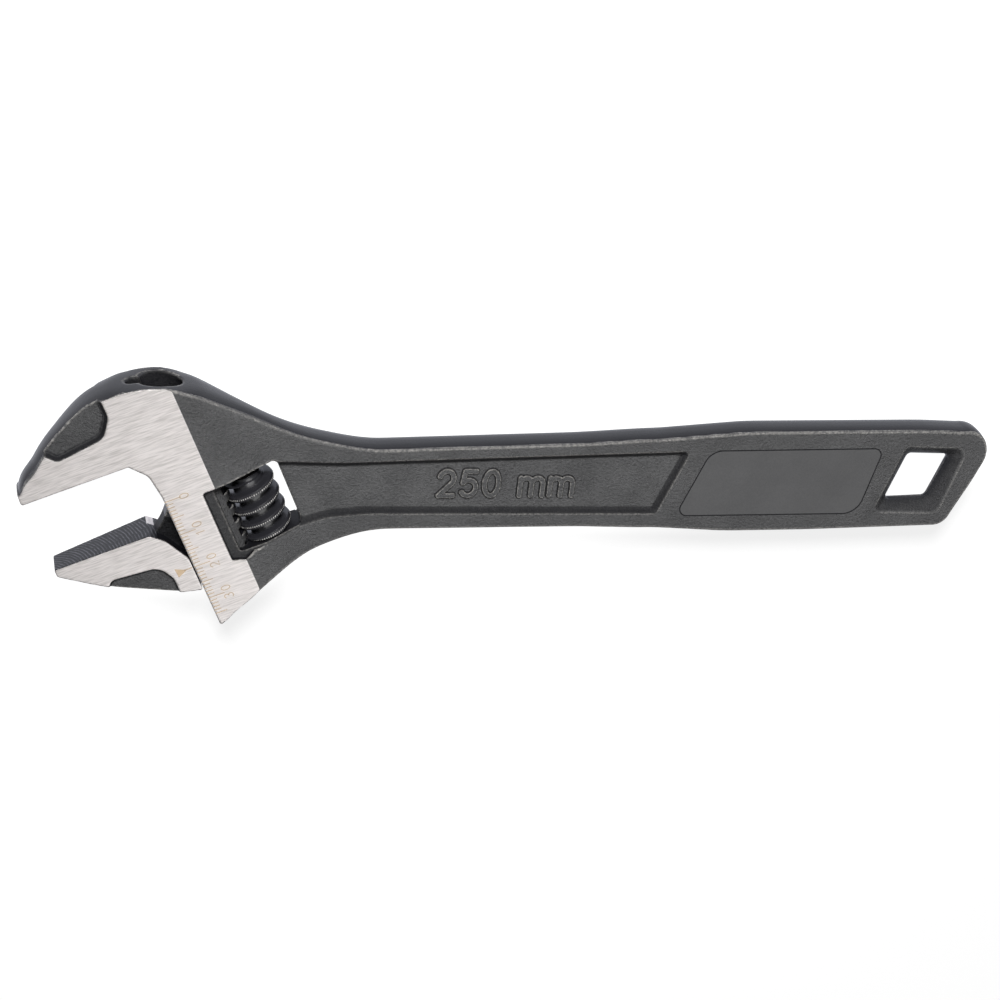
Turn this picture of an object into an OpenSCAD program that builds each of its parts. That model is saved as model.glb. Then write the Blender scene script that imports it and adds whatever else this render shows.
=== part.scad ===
// Adjustable wrench with a wide-opening thin jaw, lying on the back face of its head.
// +X runs along the handle towards the hanging hole, +Y is the side of the head's crown, +Z is the front.
// Lengths are in millimetres and angles in degrees.
//
// The head has its own slide frame: "across" runs along the jaw faces towards the handle and "down" runs
// in the direction in which the jaw opens. Both start where the fixed jaw's face meets the shank's edge.

/* [Overall] */
// Reach from the shank's edge to the outer corner of the handle's end
handle_reach = 233.4; // [200:0.1:260]
// Angle of the jaw faces to the handle
jaw_angle = 23; // [15:0.5:30]
// Height of the fixed jaw's inner corner above the handle's axis
corner_height = 10.5; // [8:0.1:13]
// Opening between the jaw faces as stored
jaw_opening = 20; // [5:0.5:34]

/* [Head] */
// Thickness of the head where the ground faces end
head_thickness = 14.8; // [13.6:0.1:17]
// Taper of each ground face towards the jaw tips
grind_angle = 4.2; // [2:0.1:5]
// Width of the ground strip that carries the scale
ground_width = 13; // [12:0.1:15]
// Distance across at which the head starts to thin down
shoulder_start = 14; // [13:0.5:18]
// Distance across at which it has thinned to the handle's flanges
shoulder_end = 32; // [28:0.5:40]
// Length of the fixed jaw's face from the shank's edge to its tip
jaw_reach = 32.4; // [26:0.1:38]
// Depth of the fixed jaw at its tip
tip_depth = 2.8; // [2:0.1:5]
// Height of the head's crown above the fixed jaw's face
crown_height = 19.3; // [17:0.1:22]
// Radius of the crown's outer curve
crown_radius = 39; // [36:0.5:50]
// Radius of the crown's shoulder towards the handle
crown_shoulder_radius = 8; // [5:0.5:12]
// Length of the shank below the fixed jaw's face
shank_length = 51.3; // [49:0.1:60]
// Width of the throat's slanted corner
throat_width = 4.5; // [3:0.1:6]
// Drop of the throat's slanted corner
throat_drop = 11; // [9:0.1:12]

/* [Handle] */
// Thickness of the handle's flanges
handle_thickness = 8.2; // [7:0.1:10]
// Width of the handle at its waist
waist_width = 24; // [21:0.1:28]
// Width of the handle's end
end_width = 30; // [26:0.1:34]
// Place of the waist along the handle
waist_reach = 75; // [68:1:90]
// Place where the handle starts to widen
flare_start = 136; // [125:1:145]
// Place where the handle has its full width
flare_end = 160; // [152:1:175]
// Slant of the handle's end, the panels' ends and the hanging hole
slant_angle = 23; // [15:0.5:30]
// Thickness of the web between the two shank panels
web_thickness = 5.4; // [4:0.1:6.5]
// Width of each flange beside the shank panel
flange_width = 3.9; // [3:0.1:5]
// Place of the shank panel's far end
panel_reach = 139.4; // [125:0.1:145]

/* [Hanging hole] */
// Distance of the hole's centre from the handle's outer corner
hang_inset = 21.7; // [19:0.1:26]
// Clear width of the hole at its waist
hang_width = 12; // [9:0.1:14]
// Clear height of the hole at its waist
hang_height = 12.8; // [9:0.1:15]
// Flare of the hole's walls out to each face
hang_flare = 3.2; // [1:0.1:4]
// Corner radius of the hole
hang_corner = 1.6; // [1:0.1:3]

/* [Slide] */
// Radius of the jaw's slide bar
bar_radius = 4.85; // [4:0.05:5.2]
// Distance of the bar's axis from the shank's edge
bar_across = 10.8; // [10.5:0.1:11.5]
// Length of the slide bar
bar_length = 38; // [34:0.1:42]
// How far the bar's upper end stands above the movable jaw's face
bar_rise = 14.5; // [12:0.1:18]
// Radial running clearance of the slide bar and of the worm's bore
running_clearance = 0.05; // [0.02:0.01:0.08]
// Thickness of the neck between the movable jaw and its bar
neck_thickness = 4.4; // [3.6:0.1:6]
// Side clearance of the neck in its slot
slot_clearance = 0.2; // [0.1:0.05:0.4]
// Depth of the keyway that the slot leaves in the crown, measured from the bore's wall
keyway_depth = 3.1; // [1.5:0.1:4]

/* [Movable jaw] */
// Depth of the movable jaw at the shank's edge
jaw_depth = 19.6; // [17:0.1:22]
// Depth of the movable jaw at its tip
jaw_tip_depth = 2; // [1.5:0.1:4]
// Where the face's flat part ends before the shank
face_end = 6.9; // [6:0.1:9]
// Drop of the rounded corner between the jaw's face and the shank
face_corner_drop = 9.6; // [8:0.1:11]
// Rise of the neck above the jaw's face at the shank's edge
neck_rise = 4; // [3:0.1:6]
// Room above the neck in its slot with the jaws shut
neck_room = 1.5; // [0.8:0.1:3]
// Gap between the movable jaw and the shank's edge
shank_clearance = 0.3; // [0.2:0.05:0.5]

/* [Worm] */
// Outer radius of the worm's thread
worm_radius = 6.7; // [6:0.05:7]
// Distance of the worm's axis from the shank's edge
worm_across = 21; // [20.6:0.1:21.4]
// Pitch of the worm and of the rack
thread_pitch = 4.2; // [3.6:0.1:5]
// Depth of the thread
thread_depth = 2.1; // [1.6:0.1:2.4]
// Width of the thread's crest
crest_width = 1.3; // [0.9:0.1:1.6]
// Flank angle of the thread
flank_angle = 15; // [10:1:20]
// Length of the threaded part
worm_length = 16.3; // [14:0.1:18]
// Angle at which the thread starts on the worm's lower end
thread_start = 201; // [0:1:359]
// Radius of the worm's collar under the spring
collar_radius = 4; // [3.4:0.1:4.4]
// Height of that collar
collar_height = 1.3; // [0.8:0.1:1.8]
// Clearance between the rack's flanks and the thread
mesh_clearance = 0.28; // [0.24:0.02:0.34]
// Radius of the worm's pin
pin_radius = 2; // [1.6:0.1:2.4]
// How far the pin's blind bore runs above the window
pin_seat = 6; // [4:0.5:8]
// How far the pin is held below the window
pin_grip = 8.6; // [5:0.1:9]
// Wire diameter of the worm's spring
spring_wire = 0.7; // [0.5:0.05:0.9]
// Number of turns of the worm's spring
spring_turns = 1.5; // [1:0.25:1.75]

/* [Window] */
// Distance of the window's near edge from the shank's edge
window_across = 12.4; // [12:0.1:13]
// Distance of the window's far edge from the worm's thread
window_side_gap = 2; // [1:0.1:3]
// Distance of the window's upper edge below the fixed jaw's face
window_down = 13.8; // [12:0.1:16]
// Room for the spring between the window's upper edge and the worm's collar
spring_room = 1.9; // [1.6:0.1:3]
// Free play between the worm's lower end and the window
worm_play = 0.2; // [0.1:0.05:0.4]
// Width of the recessed land beside the window
land_width = 2.8; // [1:0.1:3.5]
// Depth of that land under the ground face
land_depth = 1.2; // [0.6:0.1:1.5]

/* [Jaw pads] */
// Depth of the fixed jaw's pads in its ground faces
fixed_pad_depth = 1.5; // [0.6:0.1:2]
// Depth of the movable jaw's pads in its ground faces
jaw_pad_depth = 0.8; // [0.4:0.1:1.5]
// Corner radius of the pads
pad_radius = 4.5; // [2:0.1:6]

/* [Hidden] */
$fn = 64;
arc_step = 5;
over = 1;
fit_over = 0.01;
far = 300;
spring_side_room = 0.5;
spring_end_room = 0.12;
spring_sides = 8;
spring_steps = 20;
section_points = 36;
slices_per_turn = 18;
shoulder_steps = 10;

head_half = head_thickness / 2;
handle_half = handle_thickness / 2;
grind_slope = tan(grind_angle);
edge_rounding = 0.5;
tip_rounding = 0.8;
knee_radius = 4;
crown_run = 70;
crown_across = 14.7;
shank_run = 54;
throat_knee = 0.38; // share of the throat's drop at which its slant bends
waist_lead = 30; // how far before the waist the handle's sides run straight
flare_run = 80;
flare_rise = 1.35; // widening of each side where the handle starts to flare
flare_skew = 4; // the lower side reaches its full width this much earlier
end_run = 90;
end_side_run = 150;
end_fillet = 7;
end_lower_fillet = 5;
end_drop = 1.6; // fall of the upper side towards the handle's outer corner
end_belly = 0.3; // bulge of the lower side
end_belly_place = 20;
end_overhang = 1.5; // how far the roundings take the corners back from the box
hang_reach = handle_reach - hang_inset;
hang_drop = 0.6; // the hole's centre lies below the handle's axis
panel_corner = 1.2;
panel_flare = 0.9; // widening of the shank panel's far end, on each side
panel_upper_lead = 25; // bends of the panel's rims before the waist
panel_lower_lead = 18;
panel_neck_lead = 28;
panel_lower_rise = 1.2;
panel_neck_rise = 0.5;
land_foot = 1.1; // how far the land beside the window runs below it
land_foot_drop = 1;
bore_radius = bar_radius + running_clearance;
slot_half = neck_thickness / 2 + slot_clearance;
window_far = worm_across + worm_radius + window_side_gap;
worm_top = window_down + spring_room + collar_height;
worm_bottom = worm_top + worm_length;
window_bottom = worm_bottom + worm_play;
root_radius = worm_radius - thread_depth;
flank_run = thread_depth * tan(flank_angle);
bar_top = jaw_opening - bar_rise;
pin_top = window_down - pin_seat;
pin_bore_radius = pin_radius + running_clearance;
pin_end_room = 0.2;
rim_width = 0.7;
window_corner = 1.4;

// Outline of the fixed jaw's pads: shares of the jaw's reach, of the crown's height and of the pad's radius
fixed_pad_shape = [
    [0.71, 0.58, 0],
    [0.605, 0.395, 0.5],
    [0.216, 0.484, 1],
    [0.114, 0.737, 1]
];
// Outline of the movable jaw's pads: shares of the jaw's reach, of its depth and of the pad's radius
jaw_pad_shape = [
    [0.695, 0.55, 0],
    [0.64, 0.415, 0.5],
    [0.253, 0.47, 1],
    [0.179, 0.7, 1]
];
// Back of the movable jaw between its tip and the shank: shares of its reach and depth, and radius
jaw_back_shape = [[0.68, 0.5, 60], [0.17, 0.935, 20]];
// Knee of its rounded inner corner: shares of the corner's width and drop
jaw_knee = [0.53, 0.33];
// Knee of the neck's upper edge: shares of the corner's width and of the neck's rise
neck_knee = [0.42, 0.15];
neck_root = 1.4; // how far the neck's root reaches into the jaw, as a share of the corner's width

// Slide-frame corners of the fixed jaw's tip and of the shank's tip, and the handle's outer corner
tip_corner = slide_point(-jaw_reach, -tip_depth);
shank_tip = slide_point(0, shank_length);
crown_corner_down = -crown_height + crown_drop(crown_across);
crown_corner = slide_point(crown_across, crown_corner_down);

// The part's origin: the middle of its outline, on the plane that the head's back face rests on
origin_x = (tip_corner.x + handle_reach - end_overhang) / 2;
origin_y = (shank_tip.y + crown_corner.y - end_overhang) / 2;

// ---------- functions for outlines ----------

function unit(v) = v / norm(v);
function slide_point(across, down) = [
    across * cos(jaw_angle) + down * sin(jaw_angle),
    corner_height + across * sin(jaw_angle) - down * cos(jaw_angle)
];
function with_radius(p, r) = [p.x, p.y, r];
function crown_drop(across) = crown_radius - sqrt(crown_radius * crown_radius - across * across);

// One corner [x, y, radius] of an outline as an arc; the arc takes at most 0.55 of each side
function corner_arc(a, b, c) =
    let (
        p = [b.x, b.y],
        to_a = [a.x, a.y] - p,
        to_c = [c.x, c.y] - p,
        u = unit(to_a),
        v = unit(to_c),
        half = acos(max(-1, min(1, u * v))) / 2,
        most = 0.55 * min(norm(to_a), norm(to_c)),
        run = min(b[2] / tan(half), most),
        r = run * tan(half),
        centre = p + unit(u + v) * r / sin(half),
        first = p + u * run - centre,
        turn = 180 - 2 * half,
        side = cross(u, v) > 0 ? -1 : 1,
        steps = max(1, ceil(turn / arc_step)),
        start = atan2(first.y, first.x)
    )
    b[2] < fit_over ? [p] : [for (i = [0:steps])
        let (t = start + side * turn * i / steps)
        centre + r * [cos(t), sin(t)]];

function rounded(v) = [for (i = [0:len(v) - 1])
    each corner_arc(v[(i + len(v) - 1) % len(v)], v[i], v[(i + 1) % len(v)])];

// Crown of the fixed jaw, from its tip to the top of the head
function crown_points() = [for (i = [1:1:11])
    let (across = -jaw_reach * (1 - i / 11) + 2 * i / 11)
    with_radius(slide_point(across, -crown_height + crown_drop(across)), 0)];

// The wrench's whole outline without the slot, window and hole
function body_outline() = rounded(concat(
    [with_radius(slide_point(-jaw_reach, 0), edge_rounding),
     with_radius(tip_corner, tip_rounding)],
    crown_points(),
    [with_radius(crown_corner, crown_shoulder_radius),
     [waist_reach - waist_lead, waist_width / 2, crown_run],
     [flare_start, waist_width / 2 + flare_rise, flare_run],
     [flare_end, end_width / 2, end_run],
     [hang_reach, end_width / 2 - end_drop / 4, end_side_run],
     [handle_reach, end_width / 2 - end_drop, end_fillet],
     [handle_reach - (end_width - end_drop) * tan(slant_angle), -end_width / 2, end_lower_fillet],
     [flare_end + end_belly_place, -end_width / 2 - end_belly, end_side_run],
     [flare_end - flare_skew, -end_width / 2, end_run],
     [flare_start, -waist_width / 2 - flare_rise, flare_run],
     [waist_reach - waist_lead, -waist_width / 2, shank_run],
     with_radius(shank_tip, edge_rounding)],
    [with_radius(slide_point(0, throat_drop), knee_radius),
     with_radius(slide_point(-throat_width / 5, throat_drop * throat_knee), knee_radius),
     with_radius(slide_point(-throat_width, 0), edge_rounding)]));

// Half thickness against the distance across: ground taper, smooth shoulder, flanges
function half_section() = concat(
    [[-2 * jaw_reach, head_half - (ground_width + 2 * jaw_reach) * grind_slope],
     [ground_width, head_half]],
    [for (i = [0:shoulder_steps])
        let (t = i / shoulder_steps)
        [shoulder_start + (shoulder_end - shoulder_start) * t,
         handle_half + (head_half - handle_half) * (1 + cos(180 * t)) / 2]],
    [[far, handle_half]]
);

function mirrored(top) = concat(top, [for (i = [len(top) - 1:-1:0]) [top[i].x, -top[i].y]]);

// ---------- helpers for placing ----------

// Children are given as [across, -down, z] from the fixed jaw's inner corner
module slide_frame() {
    translate([0, corner_height, 0]) rotate(jaw_angle) children();
}

// Children are drawn on a ground face, z = 0 on the face and z > 0 outside it
module ground_plane(side) {
    mirror([0, 0, side > 0 ? 0 : 1])
        translate([ground_width, 0, head_half])
            rotate([0, -grind_angle, 0])
                translate([-ground_width, 0, 0])
                    children();
}

module both_sides() {
    children();
    mirror([0, 0, 1]) children();
}

module to_origin() {
    translate([-origin_x, -origin_y, head_half]) children();
}

// Cylinder along the slide from one distance down to another
module slide_rod(across, from_down, to_down, radius) {
    slide_frame()
        translate([across, -from_down, 0])
            rotate([90, 0, 0])
                cylinder(h = to_down - from_down, r = radius);
}

// ---------- body ----------

// A section given as half thicknesses, run through the whole part
module wedge(top) {
    rotate([90, 0, 0])
        linear_extrude(2 * far, center = true)
            polygon(mirrored(top));
}

module slanted_hole(width, height) {
    lean = height / 2 * tan(slant_angle);
    polygon(rounded([
        [lean - width / 2, height / 2, hang_corner],
        [lean + width / 2, height / 2, hang_corner],
        [-lean + width / 2, -height / 2, hang_corner],
        [-lean - width / 2, -height / 2, hang_corner]
    ]));
}

module hanging_hole() {
    translate([hang_reach, -hang_drop, 0]) {
        linear_extrude(2 * far, center = true) slanted_hole(hang_width, hang_height);
        both_sides() hull() {
            linear_extrude(fit_over) slanted_hole(hang_width, hang_height);
            translate([0, 0, handle_half])
                linear_extrude(fit_over)
                    slanted_hole(hang_width + 2 * hang_flare, hang_height + 2 * hang_flare);
        }
    }
}

// The long panel between the flanges, from the window to its slanted end
module shank_panel() {
    upper = waist_width / 2 - flange_width;
    near_top = slide_point(window_far - over, window_down);
    near_bottom = slide_point(window_far - over, window_bottom + rim_width);
    lean = upper * tan(slant_angle);
    both_sides()
        translate([0, 0, web_thickness / 2])
            linear_extrude(far)
                polygon(rounded([
                    with_radius(near_top, 0),
                    [waist_reach - panel_upper_lead, upper, crown_run / 2],
                    [panel_reach + lean, upper + panel_flare, panel_corner],
                    [panel_reach - lean, -upper - panel_flare, panel_corner],
                    [waist_reach - panel_lower_lead, -upper + panel_lower_rise, shank_run],
                    [waist_reach - panel_neck_lead, -upper + panel_neck_rise, shank_run / 3],
                    with_radius(near_bottom, 0)
                ]));
}

module worm_window() {
    slide_frame()
        linear_extrude(far, center = true)
            polygon(rounded([
                [window_across, -window_down, window_corner / 2],
                [window_far, -window_down, window_corner],
                [window_far, -window_bottom, window_corner],
                [window_across, -window_bottom, window_corner / 2]
            ]));
}

// Shallow land beside the window and the slanted rim under it
module window_land() {
    for (side = [-1, 1])
        slide_frame() ground_plane(side)
            translate([0, 0, -land_depth])
                linear_extrude(far)
                    polygon(rounded([
                        [window_across - land_width, -window_down, window_corner / 2],
                        [ground_width, -window_down, 0],
                        [window_far, -window_down, 0],
                        [window_far, -window_bottom - rim_width, 0],
                        [ground_width + land_width, -window_bottom - rim_width, 0],
                        [ground_width, -window_bottom - land_foot - land_foot_drop, 0],
                        [window_across - land_width, -window_bottom - land_foot, window_corner / 2]
                    ]));
}

// Slot for the movable jaw's neck, with the room that the neck needs when the jaws are shut
module neck_slot() {
    slide_frame() {
        linear_extrude(2 * slot_half, center = true)
            polygon([
                [-throat_width, 0],
                [-shank_clearance, neck_rise + neck_room],
                [bar_across, neck_rise + neck_room],
                [bar_across, -far],
                [-far, -far],
                [-far, 0]
            ]);
        translate([bar_across - bore_radius - keyway_depth, -far, -slot_half])
            cube([bore_radius + keyway_depth, 2 * far, 2 * slot_half]);
    }
}

// Black pad in the fixed jaw's outer corner, on both ground faces
module fixed_jaw_pads() {
    for (side = [-1, 1])
        slide_frame() ground_plane(side)
            translate([0, 0, -fixed_pad_depth])
                linear_extrude(far)
                    polygon(rounded(concat(
                        [for (p = fixed_pad_shape)
                            [-jaw_reach * p[0], crown_height * p[1], pad_radius * p[2]]],
                        [[-jaw_reach * fixed_pad_shape[3][0], crown_height + over, 0],
                         [-jaw_reach * fixed_pad_shape[0][0], crown_height + over, 0]]
                    )));
}

module body() {
    color([0.23, 0.23, 0.24])
        to_origin()
            difference() {
                intersection() {
                    translate([0, 0, -head_half - over])
                        linear_extrude(head_thickness + 2 * over)
                            polygon(body_outline());
                    slide_frame() wedge(half_section());
                }
                worm_window();
                window_land();
                shank_panel();
                neck_slot();
                fixed_jaw_pads();
                hanging_hole();
                slide_rod(bar_across, -2 * crown_height, 2 * shank_length, bore_radius);
                slide_rod(worm_across, pin_top, 2 * shank_length, pin_bore_radius);
            }
}

// ---------- movable jaw ----------

// Outline of the jaw block, "down" measured from its own face
function jaw_outline() = rounded([
    [-jaw_reach, 0, edge_rounding],
    [-jaw_reach, -jaw_tip_depth, tip_rounding],
    [-jaw_reach * jaw_back_shape[0][0], -jaw_depth * jaw_back_shape[0][1], jaw_back_shape[0][2]],
    [-jaw_reach * jaw_back_shape[1][0], -jaw_depth * jaw_back_shape[1][1], jaw_back_shape[1][2]],
    [-shank_clearance, -jaw_depth, edge_rounding],
    [-shank_clearance, -face_corner_drop, knee_radius],
    [-face_end * jaw_knee[0], -face_corner_drop * jaw_knee[1], 1.5 * knee_radius],
    [-face_end, 0, tip_rounding]
]);

module jaw_block() {
    intersection() {
        translate([0, 0, -head_half])
            linear_extrude(head_thickness)
                polygon(jaw_outline());
        wedge(half_section());
    }
}

module jaw_neck() {
    linear_extrude(neck_thickness, center = true)
        polygon(rounded([
            [-face_end * neck_root, -face_corner_drop, 0],
            [-face_end, -face_corner_drop / 4, 0],
            [-face_end * neck_knee[0], neck_rise * neck_knee[1], 3 * knee_radius],
            [0, neck_rise, edge_rounding],
            [bar_across, neck_rise, 0],
            [bar_across, -jaw_depth + over, 0],
            [-face_end, -jaw_depth + 4 * over, 0]
        ]));
}

// One tooth gap of the rack: the thread's own section with its clearance, at the lead angle
module rack_gap(down) {
    slope = atan(thread_pitch / (2 * PI * (worm_radius - thread_depth / 4)));
    floor_across = worm_across - worm_radius - mesh_clearance;
    top_across = bar_across + bar_radius + over;
    floor_half = crest_width / 2 + mesh_clearance;
    top_half = floor_half + (top_across - floor_across) * tan(flank_angle);
    translate([0, -down, 0])
        rotate([slope, 0, 0])
            linear_extrude(4 * bar_radius, center = true)
                polygon([
                    [floor_across, -floor_half],
                    [top_across, -top_half],
                    [top_across, top_half],
                    [floor_across, floor_half]
                ]);
}

module jaw_pads() {
    for (side = [-1, 1])
        ground_plane(side)
            translate([0, 0, -jaw_pad_depth])
                linear_extrude(far)
                    polygon(rounded(concat(
                        [[-jaw_reach * jaw_pad_shape[0][0], -jaw_depth - over, 0]],
                        [for (p = jaw_pad_shape)
                            [-jaw_reach * p[0], -jaw_depth * p[1], pad_radius * p[2]]],
                        [[-jaw_reach * jaw_pad_shape[3][0], -jaw_depth - over, 0]]
                    )));
}

module movable_jaw() {
    // Down distance, in the body, of the thread's crest that faces the bar
    crest_down = worm_bottom - thread_pitch * (540 - thread_start) / 360;
    first_gap = ceil((bar_top - crest_down) / thread_pitch - 0.4);
    last_gap = floor((bar_top + bar_length - crest_down) / thread_pitch + 0.4);
    color([0.72, 0.71, 0.69])
        to_origin()
            slide_frame()
                translate([0, -jaw_opening, 0])
                    difference() {
                        union() {
                            jaw_block();
                            jaw_neck();
                            translate([bar_across, bar_rise, 0])
                                rotate([90, 0, 0])
                                    cylinder(h = bar_length, r = bar_radius);
                        }
                        jaw_pads();
                        for (i = [first_gap:last_gap])
                            rack_gap(crest_down + i * thread_pitch - jaw_opening);
                    }
}

// ---------- worm, pin and spring ----------

// Radius of the thread at an axial distance from its crest's middle
function thread_radius(along) =
    worm_radius - thread_depth * max(0, min(1, (abs(along) - crest_width / 2) / flank_run));

// The thread's section across the worm's axis
function thread_section() = [for (i = [0:section_points - 1])
    let (
        t = 360 * i / section_points,
        along = thread_pitch * (t > 180 ? t - 360 : t) / 360
    )
    thread_radius(along) * [cos(t), sin(t)]];

module worm() {
    color([0.12, 0.12, 0.13])
        to_origin()
            slide_frame()
                translate([worm_across, -worm_bottom, 0])
                    rotate([-90, 0, 0])
                        difference() {
                            union() {
                                rotate(thread_start)
                                    linear_extrude(
                                        worm_length,
                                        twist = -360 * worm_length / thread_pitch,
                                        slices = ceil(slices_per_turn * worm_length / thread_pitch),
                                        segments = section_points
                                    )
                                        polygon(thread_section());
                                translate([0, 0, worm_length / 2])
                                    cylinder(h = worm_length / 2 + collar_height, r = collar_radius);
                            }
                            translate([0, 0, -over])
                                cylinder(h = worm_length + collar_height + 2 * over, r = pin_bore_radius);
                        }
}

module worm_pin() {
    color([0.5, 0.5, 0.5])
        to_origin()
            slide_rod(worm_across, pin_top + pin_end_room, window_bottom + pin_grip, pin_radius);
}

module worm_spring() {
    coil_radius = pin_radius + spring_wire / 2 + spring_side_room;
    rise = spring_room - spring_wire - 2 * spring_end_room;
    sides = spring_sides;
    rings = ceil(spring_turns * spring_steps);
    points = [for (i = [0:rings], j = [0:sides - 1])
        let (
            turn = 360 * spring_turns * i / rings,
            around = 360 * j / sides,
            r = coil_radius + spring_wire / 2 * cos(around)
        )
        [r * cos(turn), r * sin(turn), rise * i / rings + spring_wire / 2 * sin(around)]];
    skin = [for (i = [0:rings - 1], j = [0:sides - 1])
        let (k = (j + 1) % sides)
        each [
            [i * sides + j, (i + 1) * sides + j, (i + 1) * sides + k],
            [i * sides + j, (i + 1) * sides + k, i * sides + k]
        ]];
    color([0.6, 0.6, 0.58])
        to_origin()
            slide_frame()
                translate([worm_across, -worm_top + collar_height + spring_end_room + spring_wire / 2, 0])
                    rotate([-90, 0, 0])
                        polyhedron(points, concat(
                            skin,
                            [[for (j = [0:sides - 1]) j]],
                            [[for (j = [sides - 1:-1:0]) rings * sides + j]]
                        ));
}

body();
movable_jaw();
worm();
worm_pin();
worm_spring();
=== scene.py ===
import math
import bpy
import numpy as np
from mathutils import Matrix, Vector


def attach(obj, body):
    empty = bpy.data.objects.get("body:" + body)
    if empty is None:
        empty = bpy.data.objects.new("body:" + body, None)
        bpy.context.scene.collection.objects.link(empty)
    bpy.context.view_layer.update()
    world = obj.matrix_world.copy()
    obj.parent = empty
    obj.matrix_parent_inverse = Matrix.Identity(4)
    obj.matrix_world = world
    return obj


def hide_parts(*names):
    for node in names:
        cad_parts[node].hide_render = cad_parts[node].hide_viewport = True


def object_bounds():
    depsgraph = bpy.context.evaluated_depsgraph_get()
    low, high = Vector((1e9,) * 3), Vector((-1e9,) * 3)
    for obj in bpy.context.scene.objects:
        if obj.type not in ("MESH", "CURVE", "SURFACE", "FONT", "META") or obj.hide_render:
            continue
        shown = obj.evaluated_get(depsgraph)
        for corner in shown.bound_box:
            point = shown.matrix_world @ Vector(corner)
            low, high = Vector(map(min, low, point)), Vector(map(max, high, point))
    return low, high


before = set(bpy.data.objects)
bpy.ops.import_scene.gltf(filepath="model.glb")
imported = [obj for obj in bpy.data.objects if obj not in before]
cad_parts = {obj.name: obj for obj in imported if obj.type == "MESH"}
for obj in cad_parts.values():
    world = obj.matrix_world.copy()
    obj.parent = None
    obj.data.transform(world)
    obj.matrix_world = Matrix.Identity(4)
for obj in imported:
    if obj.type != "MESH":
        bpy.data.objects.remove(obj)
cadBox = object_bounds()
print("frame loaded:", sorted(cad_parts))

# Shapes are worked out in millimetres on the wrench's own axes: x along the handle, y towards the crown,
# z out of the front face, with the handle's axis at y = 0 and the middle of the thickness at z = 0.
# The head also has slide coordinates: across (s) along the jaw faces and down (t) the way the jaw opens.
wrench = {
    "originX": 100.4908, "originY": -3.4301, "halfHead": 7.4,   # where those axes lie in the part
    "jawAngle": 23.0, "cornerHeight": 10.5, "opening": 20.0,
    "headStep": 0.36, "handleStep": 0.4, "jawStep": 0.3,        # mesh fineness
}
cosJaw, sinJaw = math.cos(math.radians(wrench["jawAngle"])), math.sin(math.radians(wrench["jawAngle"]))


def toSlide(x, y):
    # a turn by the jaw's angle about the fixed jaw's corner, with down counted positive
    up = y - wrench["cornerHeight"]
    return x * cosJaw + up * sinJaw, x * sinJaw - up * cosJaw


def fromSlide(s, t):
    return s * cosJaw + t * sinJaw, wrench["cornerHeight"] + s * sinJaw - t * cosJaw


def toPart(x, y, z):
    # millimetres on the wrench's axes to metres in the part's frame, kept inside the part's box
    x, y, z = np.broadcast_arrays(x, y, z)
    points = np.stack([x - wrench["originX"], y - wrench["originY"], z + wrench["halfHead"]], -1) / 1000
    return np.clip(points, np.array(cadBox[0]) + 1e-6, np.array(cadBox[1]) - 1e-6)


def feed(tree, node, inputs):
    # each named or numbered socket takes a plain value or another node's output
    for key, value in inputs.items():
        socket = node.inputs[key]
        if isinstance(value, bpy.types.NodeSocket):
            tree.links.new(value, socket)
        else:
            socket.default_value = (*value, 1) if socket.type == "RGBA" else value


def addNode(tree, kind, inputs, **settings):
    # a shader node of this kind with its settings and inputs
    node = tree.nodes.new("ShaderNode" + kind)
    for name, value in settings.items():
        setattr(node, name, value)
    feed(tree, node, inputs)
    return node


def calculate(tree, operation, a, b=0.0, clamp=False):
    return addNode(tree, "Math", {0: a, 1: b}, operation=operation, use_clamp=clamp).outputs[0]


def multiply(tree, a, b):
    return calculate(tree, "MULTIPLY", a, b)


def mapRange(tree, value, low, high, toLow=0.0, toHigh=1.0, kind="LINEAR"):
    inputs = dict(enumerate((value, low, high, toLow, toHigh)))
    return addNode(tree, "MapRange", inputs, interpolation_type=kind).outputs["Result"]


def mixColour(tree, amount, a, b):
    return addNode(tree, "Mix", {0: amount, 6: a, 7: b}, data_type="RGBA").outputs[2]


def noise(tree, vector, scale, detail=3.0, rough=0.55):
    inputs = {"Vector": vector, "Scale": scale, "Detail": detail, "Roughness": rough}
    return addNode(tree, "TexNoise", inputs).outputs["Fac"]


def ownPlace(tree):
    # the place on the piece in its own coordinates
    return addNode(tree, "TexCoord", {}).outputs["Object"]


def ownValue(tree, name):
    # what the piece's mesh carries under this name
    return addNode(tree, "Attribute", {}, attribute_name=name).outputs["Fac"]


studio = {
    "lens": 74.3, "distance": 0.545, "lookAt": (-0.00707, -0.00222, 0.0074),
    "towardsCamera": (-0.248, 0.430, 0.868), "roll": 5.645, "sensor": 36, "clip": (0.01, 20),
    "keyPlace": (-0.20, 0.62, 0.62), "keyPower": 19.6, "keySize": 0.3,
    "keyShine": 0.25,       # share of the key light that highlights show
    "panelPlace": (0.25, -0.43, 0.78), "panelPower": 2.9, "panelSize": 0.85,
    "worldTop": 0.05, "worldBelow": 0.2, "worldFade": (-0.3, 0.6),
    "floorSize": 3.0, "floorColour": 0.14, "floorGlow": 0.80, "floorTint": (0.56, 0.58, 0.66),
    "glowFade": (-0.027, -0.015), "glowSlope": 0.13, "floorRough": 0.9, "floorSpecular": 0.1,
}


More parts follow.
